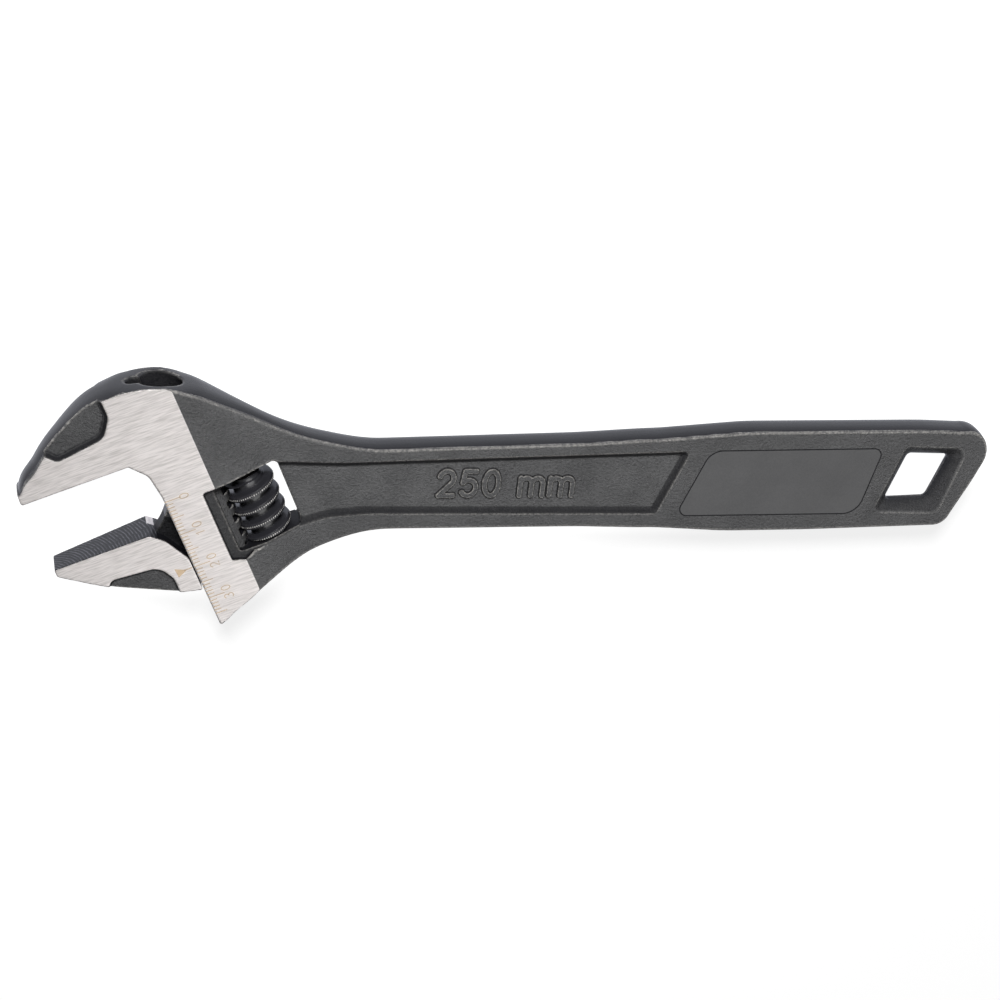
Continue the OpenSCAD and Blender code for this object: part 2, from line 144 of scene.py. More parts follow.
def makeCamera(v):
    # the camera looks along the line to lookAt, and the picture is turned by roll about that line
    back = Vector(v["towardsCamera"]).normalized()
    right = Vector((0, 1, 0)).cross(back).normalized()
    up = back.cross(right)
    roll = math.radians(v["roll"])
    sideways = right * math.cos(roll) + up * math.sin(roll)
    upwards = up * math.cos(roll) - right * math.sin(roll)
    data = bpy.data.cameras.new("camera")
    data.lens, data.sensor_width = v["lens"], v["sensor"]
    data.clip_start, data.clip_end = v["clip"]
    camera = bpy.data.objects.new("camera", data)
    camera.matrix_world = Matrix.Translation(Vector(v["lookAt"]) + back * v["distance"]) @ Matrix(
        (sideways, upwards, back)).transposed().to_4x4()
    bpy.context.scene.collection.objects.link(camera)
    bpy.context.scene.camera = camera


def makeLight(name, place, size, power, mirrored=True):
    # a round light aimed at the part's middle; one that isn't mirrored leaves no highlights
    data = bpy.data.lights.new(name, "AREA")
    data.shape, data.size, data.energy = "DISK", size, power
    light = bpy.data.objects.new(name, data)
    light.visible_glossy = mirrored
    light.location = place
    light.rotation_mode = "QUATERNION"
    light.rotation_quaternion = Vector(place).to_track_quat("Z", "Y")
    bpy.context.scene.collection.objects.link(light)


def makeWorld(v):
    # soft white surroundings, darker in the direction of the crown
    world = bpy.data.worlds.new("studio")
    bpy.context.scene.world = world
    world.use_nodes = True
    tree = world.node_tree
    tree.nodes.clear()
    place = addNode(tree, "TexCoord", {}).outputs["Generated"]
    towardsCrown = addNode(tree, "SeparateXYZ", {0: place}).outputs["Y"]
    strength = mapRange(tree, towardsCrown, *v["worldFade"], v["worldBelow"], v["worldTop"], "SMOOTHSTEP")
    glow = addNode(tree, "Background", {"Strength": strength})
    addNode(tree, "OutputWorld", {"Surface": glow.outputs[0]})


makeCamera(studio)
makeWorld(studio)
shine = studio["keyPower"] * studio["keyShine"]
makeLight("keyLight", studio["keyPlace"], studio["keySize"], studio["keyPower"] - shine, mirrored=False)
makeLight("keyShine", studio["keyPlace"], studio["keySize"], shine)
makeLight("panelLight", studio["panelPlace"], studio["panelSize"], studio["panelPower"])
bpy.context.scene.view_settings.view_transform = "Standard"
print("camera and lights made")


def newMaterial(name):
    material = bpy.data.materials.new(name)
    material.use_nodes = True
    return material, material.node_tree, material.node_tree.nodes["Principled BSDF"]


def newGroup(name, inputs, outputs):
    group = bpy.data.node_groups.new(name, "ShaderNodeTree")
    for label, kind, value in inputs:
        group.interface.new_socket(label, in_out="INPUT", socket_type=kind).default_value = value
    for label in outputs:
        group.interface.new_socket(label, in_out="OUTPUT", socket_type="NodeSocketFloat")
    return group, group.nodes.new("NodeGroupInput").outputs, group.nodes.new("NodeGroupOutput")


def useGroup(tree, group, inputs):
    return addNode(tree, "Group", inputs, node_tree=group).outputs


pattern = {
    # how many noise cells lie in a metre, and how far the grinding lines are drawn out
    "fineGrain": 3300.0, "coarseGrain": 1400.0, "patches": 90.0, "wornAndHighlightSpots": 1300.0,
    "lines": 2800.0, "streaks": 1300.0, "drawnOut": 0.003,
    "leastBulge": 0.03, "spotRange": (0.38, 0.62), "cornerRange": (-0.015, -0.12),
}


def makeGrain(v):
    # forged skin: fine grain with larger, softer unevenness, from the piece's own coordinates
    group, given, out = newGroup("forgedGrain", [("Size", "NodeSocketFloat", 1.0)], ["Height", "Patches"])
    place = ownPlace(group)
    fine = noise(group, place, calculate(group, "DIVIDE", v["fineGrain"], given["Size"]), 2.0, 0.6)
    coarse = noise(group, place, calculate(group, "DIVIDE", v["coarseGrain"], given["Size"]), 2.0, 0.5)
    halves = [multiply(group, part, 0.5) for part in (fine, coarse)]
    feed(group, out, {"Height": calculate(group, "ADD", *halves),
                      "Patches": noise(group, place, v["patches"], 4.0, 0.6)})
    return group


def makeEdges(v):
    # edges drawn lighter, partly rubbed wear and partly painted highlight, and painted shade in hollow
    # corners: the mesh carries how much it bulges at each point, how squarely it faces up or down, and where
    # it is drawn darker
    group, given, out = newGroup(
        "edgeWearHighlightShade", [("Spread", "NodeSocketFloat", 0.3), ("Broken", "NodeSocketFloat", 0.6)],
        ["RubbedAndHighlight", "ShadeAndDark", "Facing"])
    bulge = ownValue(group, "bulge")
    amount = mapRange(group, bulge, v["leastBulge"], given["Spread"])
    patchy = mapRange(group, noise(group, ownPlace(group), v["wornAndHighlightSpots"], 3.0, 0.7), *v["spotRange"])
    lost = multiply(group, given["Broken"], calculate(group, "SUBTRACT", 1.0, patchy))
    keep = calculate(group, "SUBTRACT", 1.0, lost)
    # painted shade in hollow corners, where the skin bends inwards
    corners = mapRange(group, bulge, *v["cornerRange"])
    feed(group, out, {"RubbedAndHighlight": calculate(group, "MULTIPLY", amount, keep, clamp=True),
                      "ShadeAndDark": calculate(group, "MAXIMUM", ownValue(group, "tone"), corners),
                      "Facing": ownValue(group, "facing")})
    return group


def makeBrushing(v):
    # grinding lines: noise drawn out along the turned x direction
    group, given, out = newGroup(
        "grindingLines", [("Turn", "NodeSocketVector", (0, 0, 0))], ["Lines", "Streaks"])
    turned = addNode(group, "Mapping", {"Rotation": given["Turn"], "Vector": ownPlace(group)},
                     vector_type="TEXTURE").outputs[0]
    drawn = addNode(group, "VectorMath", {0: turned, 1: (v["drawnOut"], 1.0, 1.0)},
                    operation="MULTIPLY").outputs[0]
    feed(group, out, {"Lines": noise(group, drawn, v["lines"], 2.0, 0.6),
                      "Streaks": noise(group, drawn, v["streaks"], 3.0, 0.5)})
    return group


grainGroup, edgeGroup, brushGroup = makeGrain(pattern), makeEdges(pattern), makeBrushing(pattern)


def addBump(tree, shader, height, strength, distance):
    bump = addNode(tree, "Bump", {"Strength": strength, "Distance": distance, "Height": height})
    feed(tree, shader, {"Normal": bump.outputs[0]})


blackFinish = {
    "dark": (0.045, 0.045, 0.046), "light": (0.058, 0.058, 0.059), "speckle": (0.80, 1.29),
    # the rubbed colour marks worn edges and paints highlight on them; the sunken colour paints shade in
    # corners and recesses and darkens a few places plainly
    "side": (0.004, 0.004, 0.005), "rubbedAndHighlight": (0.27, 0.26, 0.245), "shadeAndDark": (0.004, 0.004, 0.005),
    "rubbedAndHighlightShare": 0.85, "shadeAndDarkShare": 0.9, "rough": (0.42, 0.52), "sideRough": 0.25, "specular": 0.3,
    "grain": 0.0011, "size": 1.0, "relief": 0.8, "sideRelief": 0.06, "wornAndHighlight": 0.12, "broken": 0.85,
    "patchRange": (0.35, 0.65), "grainRange": (0.35, 0.68), "faceRange": (0.35, 0.75),
    "glossRange": (0.3, 0.7),
}


def blackForged(name, v):
    # phosphated black steel: even dark grey with a fine grain, lighter along its edges from rubbed wear and
    # painted highlight, with painted shade in its corners and recesses, and narrow sides that are smoother
    # and darker than the faces
    material, tree, shader = newMaterial(name)
    grain = useGroup(tree, grainGroup, {"Size": v["size"]})
    edges = useGroup(tree, edgeGroup, {"Spread": v["wornAndHighlight"], "Broken": v["broken"]})
    base = mixColour(tree, mapRange(tree, grain["Patches"], *v["patchRange"]), v["dark"], v["light"])
    speckle = mapRange(tree, grain["Height"], *v["grainRange"], *v["speckle"])
    tinted = addNode(tree, "VectorMath", {0: base, "Scale": speckle}, operation="SCALE").outputs[0]
    onFace = mapRange(tree, edges["Facing"], *v["faceRange"])
    colour = mixColour(tree, onFace, v["side"], tinted)
    # edges drawn lighter, partly rubbed wear and partly painted highlight, then painted shade in corners and
    # recesses along with plainly darker places
    for edgeLook, look in (("RubbedAndHighlight", "rubbedAndHighlight"), ("ShadeAndDark", "shadeAndDark")):
        share = multiply(tree, edges[edgeLook], v[look + "Share"])
        colour = mixColour(tree, share, colour, v[look])
    gloss = mapRange(tree, grain["Patches"], *v["glossRange"], *v["rough"])
    feed(tree, shader, {"Base Color": colour, "Specular IOR Level": v["specular"],
                        "Roughness": mapRange(tree, onFace, 0.0, 1.0, v["sideRough"], gloss)})
    height = multiply(tree, grain["Height"], mapRange(tree, onFace, 0.0, 1.0, v["sideRelief"], 1.0))
    addBump(tree, shader, height, v["relief"], v["grain"])
    return material


groundFinish = {
    "dark": (0.55, 0.52, 0.505), "light": (0.83, 0.79, 0.775), "rough": (0.38, 0.5), "metal": 0.85,
    "lineShare": 0.88, "streakShare": 0.12, "lineRange": (0.32, 0.62), "glossRange": (0.3, 0.7),
    "relief": 0.25, "height": 0.00004,
}


def groundSteel(name, v):
    # ground bright steel: fine lines along the jaw faces in colour, gloss and relief
    material, tree, shader = newMaterial(name)
    lines = useGroup(tree, brushGroup, {"Turn": (0, 0, math.radians(wrench["jawAngle"]))})
    both = calculate(tree, "ADD", multiply(tree, lines["Lines"], v["lineShare"]),
                     multiply(tree, lines["Streaks"], v["streakShare"]))
    colour = mixColour(tree, mapRange(tree, both, *v["lineRange"]), v["dark"], v["light"])
    feed(tree, shader, {"Base Color": colour, "Metallic": v["metal"],
                        "Roughness": mapRange(tree, lines["Lines"], *v["glossRange"], *v["rough"])})
    addBump(tree, shader, both, v["relief"], v["height"])
    return material


milledFinish = {
    "dark": (0.014, 0.014, 0.016), "light": (0.10, 0.10, 0.112), "rough": (0.34, 0.46), "metal": 0.5,
    "pitch": 0.00085, "uneven": 260.0, "patches": 700.0, "centre": (-38.0, 7.4), "relief": 0.5,
    "height": 0.00003, "waveRange": (0.1, 1.0), "patchRange": (0.35, 0.6), "glossRange": (0.3, 0.7),
}


def milledSteel(name, v):
    # dark machined face: a wave over the distance to one centre beside the face gives the cutter's arcs
    material, tree, shader = newMaterial(name)
    place = ownPlace(tree)
    centre = toPart(*fromSlide(v["centre"][0], wrench["opening"]), v["centre"][1])
    turned = addNode(tree, "Mapping", {
        "Location": centre, "Rotation": (0, 0, math.radians(wrench["jawAngle"])), "Scale": (1, 1000, 1),
        "Vector": place}, vector_type="TEXTURE").outputs[0]
    reach = addNode(tree, "VectorMath", {0: turned}, operation="LENGTH").outputs["Value"]
    uneven = noise(tree, place, v["uneven"], 2.0, 0.5)
    turns = calculate(tree, "ADD", calculate(tree, "DIVIDE", reach, v["pitch"]), uneven)
    wave = calculate(tree, "SINE", multiply(tree, turns, 2 * math.pi))
    patchy = noise(tree, place, v["patches"], 3.0, 0.6)
    light = multiply(tree, mapRange(tree, wave, *v["waveRange"]), mapRange(tree, patchy, *v["patchRange"]))
    feed(tree, shader, {"Base Color": mixColour(tree, light, v["dark"], v["light"]),
                        "Roughness": mapRange(tree, patchy, *v["glossRange"], *v["rough"]),
                        "Metallic": v["metal"]})
    addBump(tree, shader, wave, v["relief"], v["height"])
    return material


materials = {
    "forged": blackForged("blackForged", blackFinish),
    # near-black steel for the window, bores, slot, the jaw's neck and the panel's groove: dark steel with
    # painted shade in these hollows and narrow places
    "bore": blackForged("boreWithShade", dict(
        blackFinish, dark=(0.003, 0.003, 0.003), light=(0.009, 0.009, 0.010), side=(0.005, 0.005, 0.006),
        sideRough=0.45, specular=0.15, rubbedAndHighlightShare=0.1, size=1.4, relief=1.0)),
    # oiled black steel for the worm and the rack; its light rubbed colour marks worn crests and tooth tips
    # and paints glints on them
    "oiled": blackForged("oiledSteel", dict(
        blackFinish, dark=(0.011, 0.011, 0.013), light=(0.020, 0.020, 0.022), side=(0.011, 0.011, 0.013),
        rubbedAndHighlight=(0.6, 0.58, 0.55), rubbedAndHighlightShare=0.6, rough=(0.25, 0.35), sideRough=0.25, specular=1.0,
        relief=0.2)),
    "panel": blackForged("satinPanel", dict(
        blackFinish, dark=(0.042, 0.042, 0.043), light=(0.048, 0.048, 0.049), speckle=(0.94, 1.10),
        rough=(0.46, 0.52), grain=0.0002, size=0.8, relief=0.5)),
    "ground": groundSteel("groundSteel", groundFinish),
    "pin": groundSteel("pinSteel", dict(
        groundFinish, dark=(0.20, 0.2, 0.2), light=(0.42, 0.41, 0.40), rough=(0.25, 0.4))),
    "spring": groundSteel("springSteel", dict(
        groundFinish, dark=(0.28, 0.26, 0.24), light=(0.6, 0.55, 0.5), rough=(0.2, 0.35))),
    "laser": groundSteel("laserMark", dict(
        groundFinish, dark=(0.28, 0.205, 0.13), light=(0.42, 0.325, 0.225), rough=(0.5, 0.6), metal=0.2)),
    "milled": milledSteel("milledFace", milledFinish),
}
print("materials made")


def smooth(value):
    # three times the square less twice the cube: level at nothing and at one
    value = np.clip(value, 0, 1)
    return value * value * (3 - 2 * value)


def fade(value, start, end):
    # climbs smoothly from nothing at start to one at end
    return smooth((value - start) / (end - start))


def band(value, start, full, last, end):
    # climbs to one and falls back to nothing
    return fade(value, start, full) * (1 - fade(value, last, end))


def ridge(value, middle, spread):
    # one at the middle, falling off on both sides
    return np.exp(-((value - middle) / spread) ** 2)


def unit(vectors):
    # each row divided by its own length
    return vectors / np.maximum(np.linalg.norm(vectors, axis=1, keepdims=True), 1e-9)


def moved(p, axis, amount):
    # a copy of the points, moved along one axis
    p = p.copy()
    p[:, axis] += amount
    return p


def cornerArcs(corners, step=3.0):
    # each corner [x, y, radius] becomes an arc that takes at most 0.55 of the sides beside it
    points = []
    count = len(corners)
    for index in range(count):
        a, b, c = (np.array(corners[(index + k) % count], float) for k in (-1, 0, 1))
        radius, p = b[2], b[:2]
        toA, toC = a[:2] - p, c[:2] - p
        u, w = toA / np.hypot(*toA), toC / np.hypot(*toC)
        half = math.acos(max(-1.0, min(1.0, float(u @ w)))) / 2
        if radius < 0.01 or half > 1.5707:
            points.append(p[None])
            continue
        run = min(radius / math.tan(half), 0.55 * min(np.hypot(*toA), np.hypot(*toC)))
        r = run * math.tan(half)
        middle = p + (u + w) / np.hypot(*(u + w)) * r / math.sin(half)
        first = p + u * run - middle
        turn = math.pi - 2 * half
        side = -1 if u[0] * w[1] - u[1] * w[0] > 0 else 1
        along = np.linspace(0, turn, max(2, int(math.degrees(turn) / step) + 2))
        angle = math.atan2(first[1], first[0]) + side * along
        points.append(middle + r * np.stack([np.cos(angle), np.sin(angle)], -1))
    return np.concatenate(points)


def squareDistance(x, y, a, b):
    # squared distance to the nearest point of the straight line from a to b
    ex, ey = b[0] - a[0], b[1] - a[1]
    wx, wy = x - a[0], y - a[1]
    along = np.clip((wx * ex + wy * ey) / max(ex * ex + ey * ey, 1e-12), 0, 1)
    return (wx - along * ex) ** 2 + (wy - along * ey) ** 2


def outlineDistance(x, y, loop, near=None):
    # signed distance to a closed outline in the plane: the least distance to any side, negative inside;
    # with near, only points closer than that to the outline's box are worked out
    x, y = np.broadcast_arrays(np.asarray(x, float), np.asarray(y, float))
    if near is not None:
        low, high = loop.min(0) - near, loop.max(0) + near
        close = (x > low[0]) & (x < high[0]) & (y > low[1]) & (y < high[1])
        result = np.full(x.shape, float(near))
        result[close] = np.minimum(outlineDistance(x[close], y[close], loop), near)
        return result
    least, inside = np.full(x.shape, 1e12), np.zeros(x.shape, bool)
    for (ax, ay), (bx, by) in zip(loop, np.roll(loop, -1, 0)):
        least = np.minimum(least, squareDistance(x, y, (ax, ay), (bx, by)))
        if ay != by:
            inside ^= ((ay > y) != (by > y)) & (x - ax < (y - ay) * (bx - ax) / (by - ay))
    return np.where(inside, -1.0, 1.0) * np.sqrt(least)


def roundMax(a, b, radius):
    # both limits at once, with their edge rounded to the radius
    corner = np.hypot(np.maximum(a + radius, 0), np.maximum(b + radius, 0))
    return np.minimum(np.maximum(a, b), -radius) + corner


def addPiece(name, mesh):
    piece = bpy.data.objects.new(name, mesh)
    bpy.context.scene.collection.objects.link(piece)
    return piece


def setLayers(mesh, **layers):
    # one number for each point under each name, which the materials read
    for name, values in layers.items():
        mesh.attributes.new(name, "FLOAT", "POINT").data.foreach_set("value", values.astype(np.float32))


def makeMesh(name, points, quads, used, zones=None, normals=None, **layers):
    # a smooth mesh of quads from points in millimetres on the wrench's axes
    mesh = bpy.data.meshes.new(name)
    mesh.vertices.add(len(points))
    mesh.vertices.foreach_set("co", np.ascontiguousarray(toPart(*points.T), np.float32).ravel())
    mesh.loops.add(quads.size)
    mesh.loops.foreach_set("vertex_index", np.ascontiguousarray(quads, np.int32).ravel())
    mesh.polygons.add(len(quads))
    mesh.polygons.foreach_set("loop_start", np.arange(len(quads), dtype=np.int32) * quads.shape[1])
    mesh.polygons.foreach_set("use_smooth", np.ones(len(quads), bool))
    for material in used:
        mesh.materials.append(material)
    if zones is not None:
        mesh.polygons.foreach_set("material_index", np.ascontiguousarray(zones, np.int32))
    mesh.update(calc_edges=True)
    if normals is not None:
        layers["facing"] = np.abs(normals[:, 2])
    setLayers(mesh, **layers)
    if normals is not None:
        mesh.normals_split_custom_set_from_vertices(normals.astype(np.float32))
    return addPiece(name, mesh)


def meshOfFaces(name, points, faces, material):
    # a flat-shaded mesh from points in metres and faces with any number of corners
    mesh = bpy.data.meshes.new(name)
    mesh.from_pydata(np.asarray(points).tolist(), [], faces)
    mesh.materials.append(material)
    return addPiece(name, mesh)


def differences(field, p, reach=0.02):
    # how much the field changes over twice the reach along each axis
    return np.stack([field(*moved(p, k, reach).T) - field(*moved(p, k, -reach).T) for k in range(3)], -1)


def fieldSlope(field, p):
    # direction in which the field grows
    return unit(differences(field, p))


def fieldSurface(field, low, high, step, zoneFields):
    # The skin where a field of x, y and z passes through zero, from whole arrays. Every grid line that
    # crosses the skin gives a point and a direction; each grid cell gets the corner point that fits the
    # planes through them best, and the four cells round each crossing line make one quad.
    shift, hold, farthest = 0.013, 0.04, 0.9    # grid start in steps, pull to the mean, longest move in steps
    axes = [np.arange(low[k] + shift * step, high[k] + step, step) for k in range(3)]
    value = field(axes[0][:, None, None], axes[1][None, :, None], axes[2][None, None, :])
    inside = value < 0
    size = np.array(inside.shape)
    crossings, cells, flips = [], [], []
    for k in range(3):
        front, back = [slice(None)] * 3, [slice(None)] * 3
        front[k], back[k] = slice(None, -1), slice(1, None)
        index = np.argwhere(inside[tuple(front)] != inside[tuple(back)])
        other = [m for m in range(3) if m != k]
        beside = index[:, other]
        index = index[((beside > 0) & (beside < size[other] - 1)).all(1)]
        v0, v1 = value[tuple(index.T)], value[tuple(moved(index, k, 1).T)]
        p0 = np.stack([axes[m][index[:, m]] for m in range(3)], -1)
        a, b = np.zeros(len(index)), np.ones(len(index))
        share = v0 / (v0 - v1)
        for _ in range(2):
            v = field(*moved(p0, k, share * step).T)
            same = (v < 0) == (v0 < 0)
            a, b = np.where(same, share, a), np.where(same, b, share)
            v0, v1 = np.where(same, v, v0), np.where(same, v1, v)
            share = a + (b - a) * v0 / np.where(v0 == v1, 1, v0 - v1)
        crossings.append(moved(p0, k, share * step))
        four = np.repeat(index[:, None, :], 4, 1)
        four[:, :, other] += np.array([[0, 0], [-1, 0], [-1, -1], [0, -1]])
        cells.append(np.ravel_multi_index(four.reshape(-1, 3).T, inside.shape).reshape(-1, 4))
        flips.append(inside[tuple(index.T)] ^ (k == 1))
    p, cells, flips = np.concatenate(crossings), np.concatenate(cells), np.concatenate(flips)
    direction = fieldSlope(field, p)
    names, vertex = np.unique(cells.ravel(), return_inverse=True)
    quads = vertex.reshape(-1, 4)
    count = len(names)
    total = np.bincount(quads.ravel(), minlength=count).astype(float)

    def gather(weights):
        return np.bincount(quads.ravel(), weights=np.repeat(weights, 4), minlength=count)
    mean = np.stack([gather(p[:, k]) for k in range(3)], -1) / total[:, None]
    square = np.empty((count, 3, 3))
    for i in range(3):
        for j in range(i, 3):
            square[:, i, j] = square[:, j, i] = gather(direction[:, i] * direction[:, j])
    reach = (direction * p).sum(1)
    right = np.stack([gather(direction[:, k] * reach) for k in range(3)], -1)
    right -= np.einsum("nij,nj->ni", square, mean)
    move = np.linalg.solve(square + hold * total[:, None, None] * np.eye(3), right[:, :, None])[:, :, 0]
    points = mean + np.clip(move, -farthest * step, farthest * step)
    normals = unit(np.stack([gather(direction[:, k]) for k in range(3)], -1))
    quads = np.where(flips[:, None], quads, quads[:, ::-1])
    zones, points = sortZones(zoneFields, points, quads, step)
    return points, quads, normals, zones


def sortZones(zoneFields, points, quads, step):
    # each face belongs to the limit that is greatest at its middle; points between two kinds are
    # moved along the skin onto the line where both limits are equal
    middle = points[quads].mean(1)
    zones = np.argmax(zoneFields(*middle.T), 0)
    first = np.full(len(points), 99)
    last = np.full(len(points), -1)
    np.minimum.at(first, quads.ravel(), np.repeat(zones, 4))
    np.maximum.at(last, quads.ravel(), np.repeat(zones, 4))
    mixed = np.nonzero(first != last)[0]
    rows = np.arange(len(mixed))
    spot, start = points[mixed].copy(), points[mixed].copy()

    def unlikeness(*xyz):
        limits = zoneFields(*xyz)
        return limits[first[mixed], rows] - limits[last[mixed], rows]
    reach = 0.02
    for _ in range(3):
        slope = differences(unlikeness, spot, reach) / (2 * reach)
        square = (slope ** 2).sum(1)
        spot -= slope * (unlikeness(*spot.T) / np.maximum(square, 1e-3))[:, None]
    far = np.linalg.norm(spot - start, axis=1) > 0.75 * step
    spot[far] = start[far]
    points[mixed] = spot
    return zones, points


def bulgeOf(points, quads, normals, skin=None):
    # how far the neighbours lie below each point, against their distance, evened out once with the
    # neighbours' own values; positive on ridges
    ends = np.concatenate([quads[:, [0, 1]], quads[:, [1, 2]], quads[:, [2, 3]], quads[:, [3, 0]]])
    if skin is not None:
        ends = ends[skin[ends].all(1)]
    ends = np.concatenate([ends, ends[:, ::-1]])

    def sumAt(weights):
        return np.bincount(ends[:, 0], weights=weights, minlength=len(points))
    gap = points[ends[:, 0]] - points[ends[:, 1]]
    value = sumAt((gap * normals[ends[:, 0]]).sum(1)) / np.maximum(sumAt(np.linalg.norm(gap, axis=1)), 1e-9)
    return 0.5 * value + 0.5 * sumAt(value[ends[:, 1]]) / np.maximum(sumAt(None), 1)


body = {
    "crownHeight": 19.3, "crownRadius": 39.0, "jawReach": 32.4, "shankLength": 51.3, "splitAt": 58.0,
    "groundSlope": math.tan(math.radians(4.2)), "slopeCosine": 0.9973, "groundWidth": 13.0,
    "shoulder": (14.0, 32.0), "flangeHalf": 4.1, "grindRise": 0.28, "grindAllowance": 0.9,
    "webHalf": 2.7, "panelWall": 1.7, "handleFade": (25.0, 45.0),
    "innerAcross": (5.0, 2.0), "innerDown": (-4.0, -1.0),
    "edgeRound": 0.5, "leftRound": 1.0, "insideRound": 0.15, "landRound": 0.12, "mouthRound": (0.05, 0.9),
    "edgeDrop": 0.6, "handleDrop": 0.45, "leftDrop": 1.75, "waistDrop": 0.6,
    "crownDrops": ((0.8, 14.5, 3.2), (-0.4, 6.5, 4.0)),     # size, place across and spread
    "swell": 1.0, "handleSwell": 0.6, "leftSwell": 0.6, "swellPower": 2.5,
    "roundFade": (-6.0, -18.0), "leftFade": (-6.0, -19.0), "farLeftFade": (-25.0, -31.0),   # across the head
    "topFade": (30.9, 27.9), "endSwellFade": (232.0, 226.0), "endDropFade": (222.0, 228.0),
    "waistRange": (45.0, 60.0, 110.0, 135.0), "mouthFade": (-10.0, -13.0),
    "holeFlare": 1.6, "holeReach": 1.15, "holeRound": 0.45,
    "window": (12.4, 29.7, 13.8, 33.5), "landDepth": 1.2, "boreRadius": 4.9, "boreAcross": 10.8,
    "keyStart": 4.7, "keyRun": 6.0, "keyHalf": 1.7, "keyWidening": 0.7, "slotHalf": 2.4,
    "pinBore": 2.05, "pinTop": 7.8, "wormAcross": 21.0, "padDepth": 1.5, "padWall": 1.1,
    # how much darker the pad floors and the strip before the window are drawn, and the painted shade in the
    # hanging hole, on the hollow's side, on the pad walls and in the bore's mouth
    "darkPad": 0.3, "darkLand": 0.65, "darkHole": 0.6, "darkPanelSide": 0.85,
    "wallTone": (0.0, 0.2, 0.66, 1.16), "panelTone": (-1.9, -1.5, -0.3, 0.1), "mouthTone": (-0.5, -0.2),
    "headRoom": (-38, 32, 8.2), "handleRoom": (-17, 17, 4.9),       # lowest and highest y, and half of z
}


def slidePoint(s, t, radius=0.0):
    return [*fromSlide(s, t), radius]


def crownPoint(s):
    # the crown is an arc whose top is crownHeight above the fixed jaw's face
    r = body["crownRadius"]
    return slidePoint(s, -body["crownHeight"] + r - math.sqrt(r * r - s * s))


def slideLoop(corners, step=3.0):
    # an outline whose corners are given in slide coordinates
    return cornerArcs([slidePoint(*corner) for corner in corners], step)


def bodyLoops():
    reach = body["jawReach"]
    left, right, top, bottom = body["window"]
    return {
        "outline": cornerArcs(
            [slidePoint(-reach, 0, 0.5), slidePoint(-reach, -2.8, 0.8)]
            + [crownPoint(s) for s in np.linspace(-reach, 2, 52)[1:]]
            + [slidePoint(14.7, -16.42, 8), [45, 12, 70], [136, 13.35, 80], [160, 15, 90], [211.7, 14.6, 150],
               [233.4, 13.4, 7], [221.35, -15, 5], [180, -15.3, 150], [156, -15, 90], [136, -13.35, 80],
               [45, -12, 54], slidePoint(0, body["shankLength"], 0.5), slidePoint(0, 11, 4),
               slidePoint(-0.9, 4.18, 4), slidePoint(-4.5, 0, 0.5)], 1.5),
        "panel": cornerArcs([slidePoint(28.4, 13.8), [50, 8.1, 35], [143.7, 9.5, 1.4], [135.96, -9.0, 1.6],
                             [57, -6.9, 54], [47, -7.6, 18], slidePoint(28.4, 34.2)], 4),
        "pad": slideLoop([(-23.0, -11.2), (-19.6, -7.62, 2.25), (-7.0, -9.34, 4.5), (-3.69, -14.2, 4.5),
                          (-3.69, -22), (-23.0, -22)], 6),
        "land": slideLoop([(9.6, 13.8, 0.7), (13, 13.8), (29.7, 13.8), (29.7, 34.2), (15.8, 34.2), (13, 35.6),
                           (9.6, 34.6, 0.7)], 8),
        "window": slideLoop([(left, top, 0.7), (right, top, 1.4), (right, bottom, 1.4),
                             (left, bottom, 0.7)], 8),
        "slot": slideLoop([(-4.5, 0), (-0.3, -5.5), (10.8, -5.5), (10.8, 90), (-40, 90), (-40, 0)]),
        "waist": cornerArcs([[208.0, 6.1, 1.3], [220.6, 5.6, 1.3], [215.8, -7.0, 1.3],
                             [203.4, -7.4, 1.0]], 8),
        "holeRim": cornerArcs([[205.6, 9.5, 1.8], [224.0, 8.6, 2.6], [218.4, -10.7, 2.4],
                               [199.1, -9.9, 1.4]], 8),
    }


loops = bodyLoops()


def groundHalf(s):
    # half the thickness between the ground faces, which slope towards the jaw's tip
    return wrench["halfHead"] - (body["groundWidth"] - s) * body["groundSlope"]


def groundDistance(s, z):
    # how far a point stands out of the ground faces, measured square to their slope
    return (np.abs(z) - groundHalf(s)) * body["slopeCosine"]


def padFloor(s, z, pad, v):
    # floor of a sunk pad, whose wall slopes down from the pad's outline
    return np.abs(z) - (groundHalf(s) - v["padDepth"] * np.clip(-pad / v["padWall"], 0, 1))


def keyholeParts(s, z, v=body):
    # the round slide bore, and the narrow way beside it that widens towards it
    bore = v["boreRadius"] - np.hypot(s - v["boreAcross"], z)
    across = v["keyHalf"] + v["keyWidening"] * np.clip((s - v["keyStart"]) / v["keyRun"], 0, 1)
    return bore, across - np.hypot(np.minimum(s - v["keyStart"], 0), z)


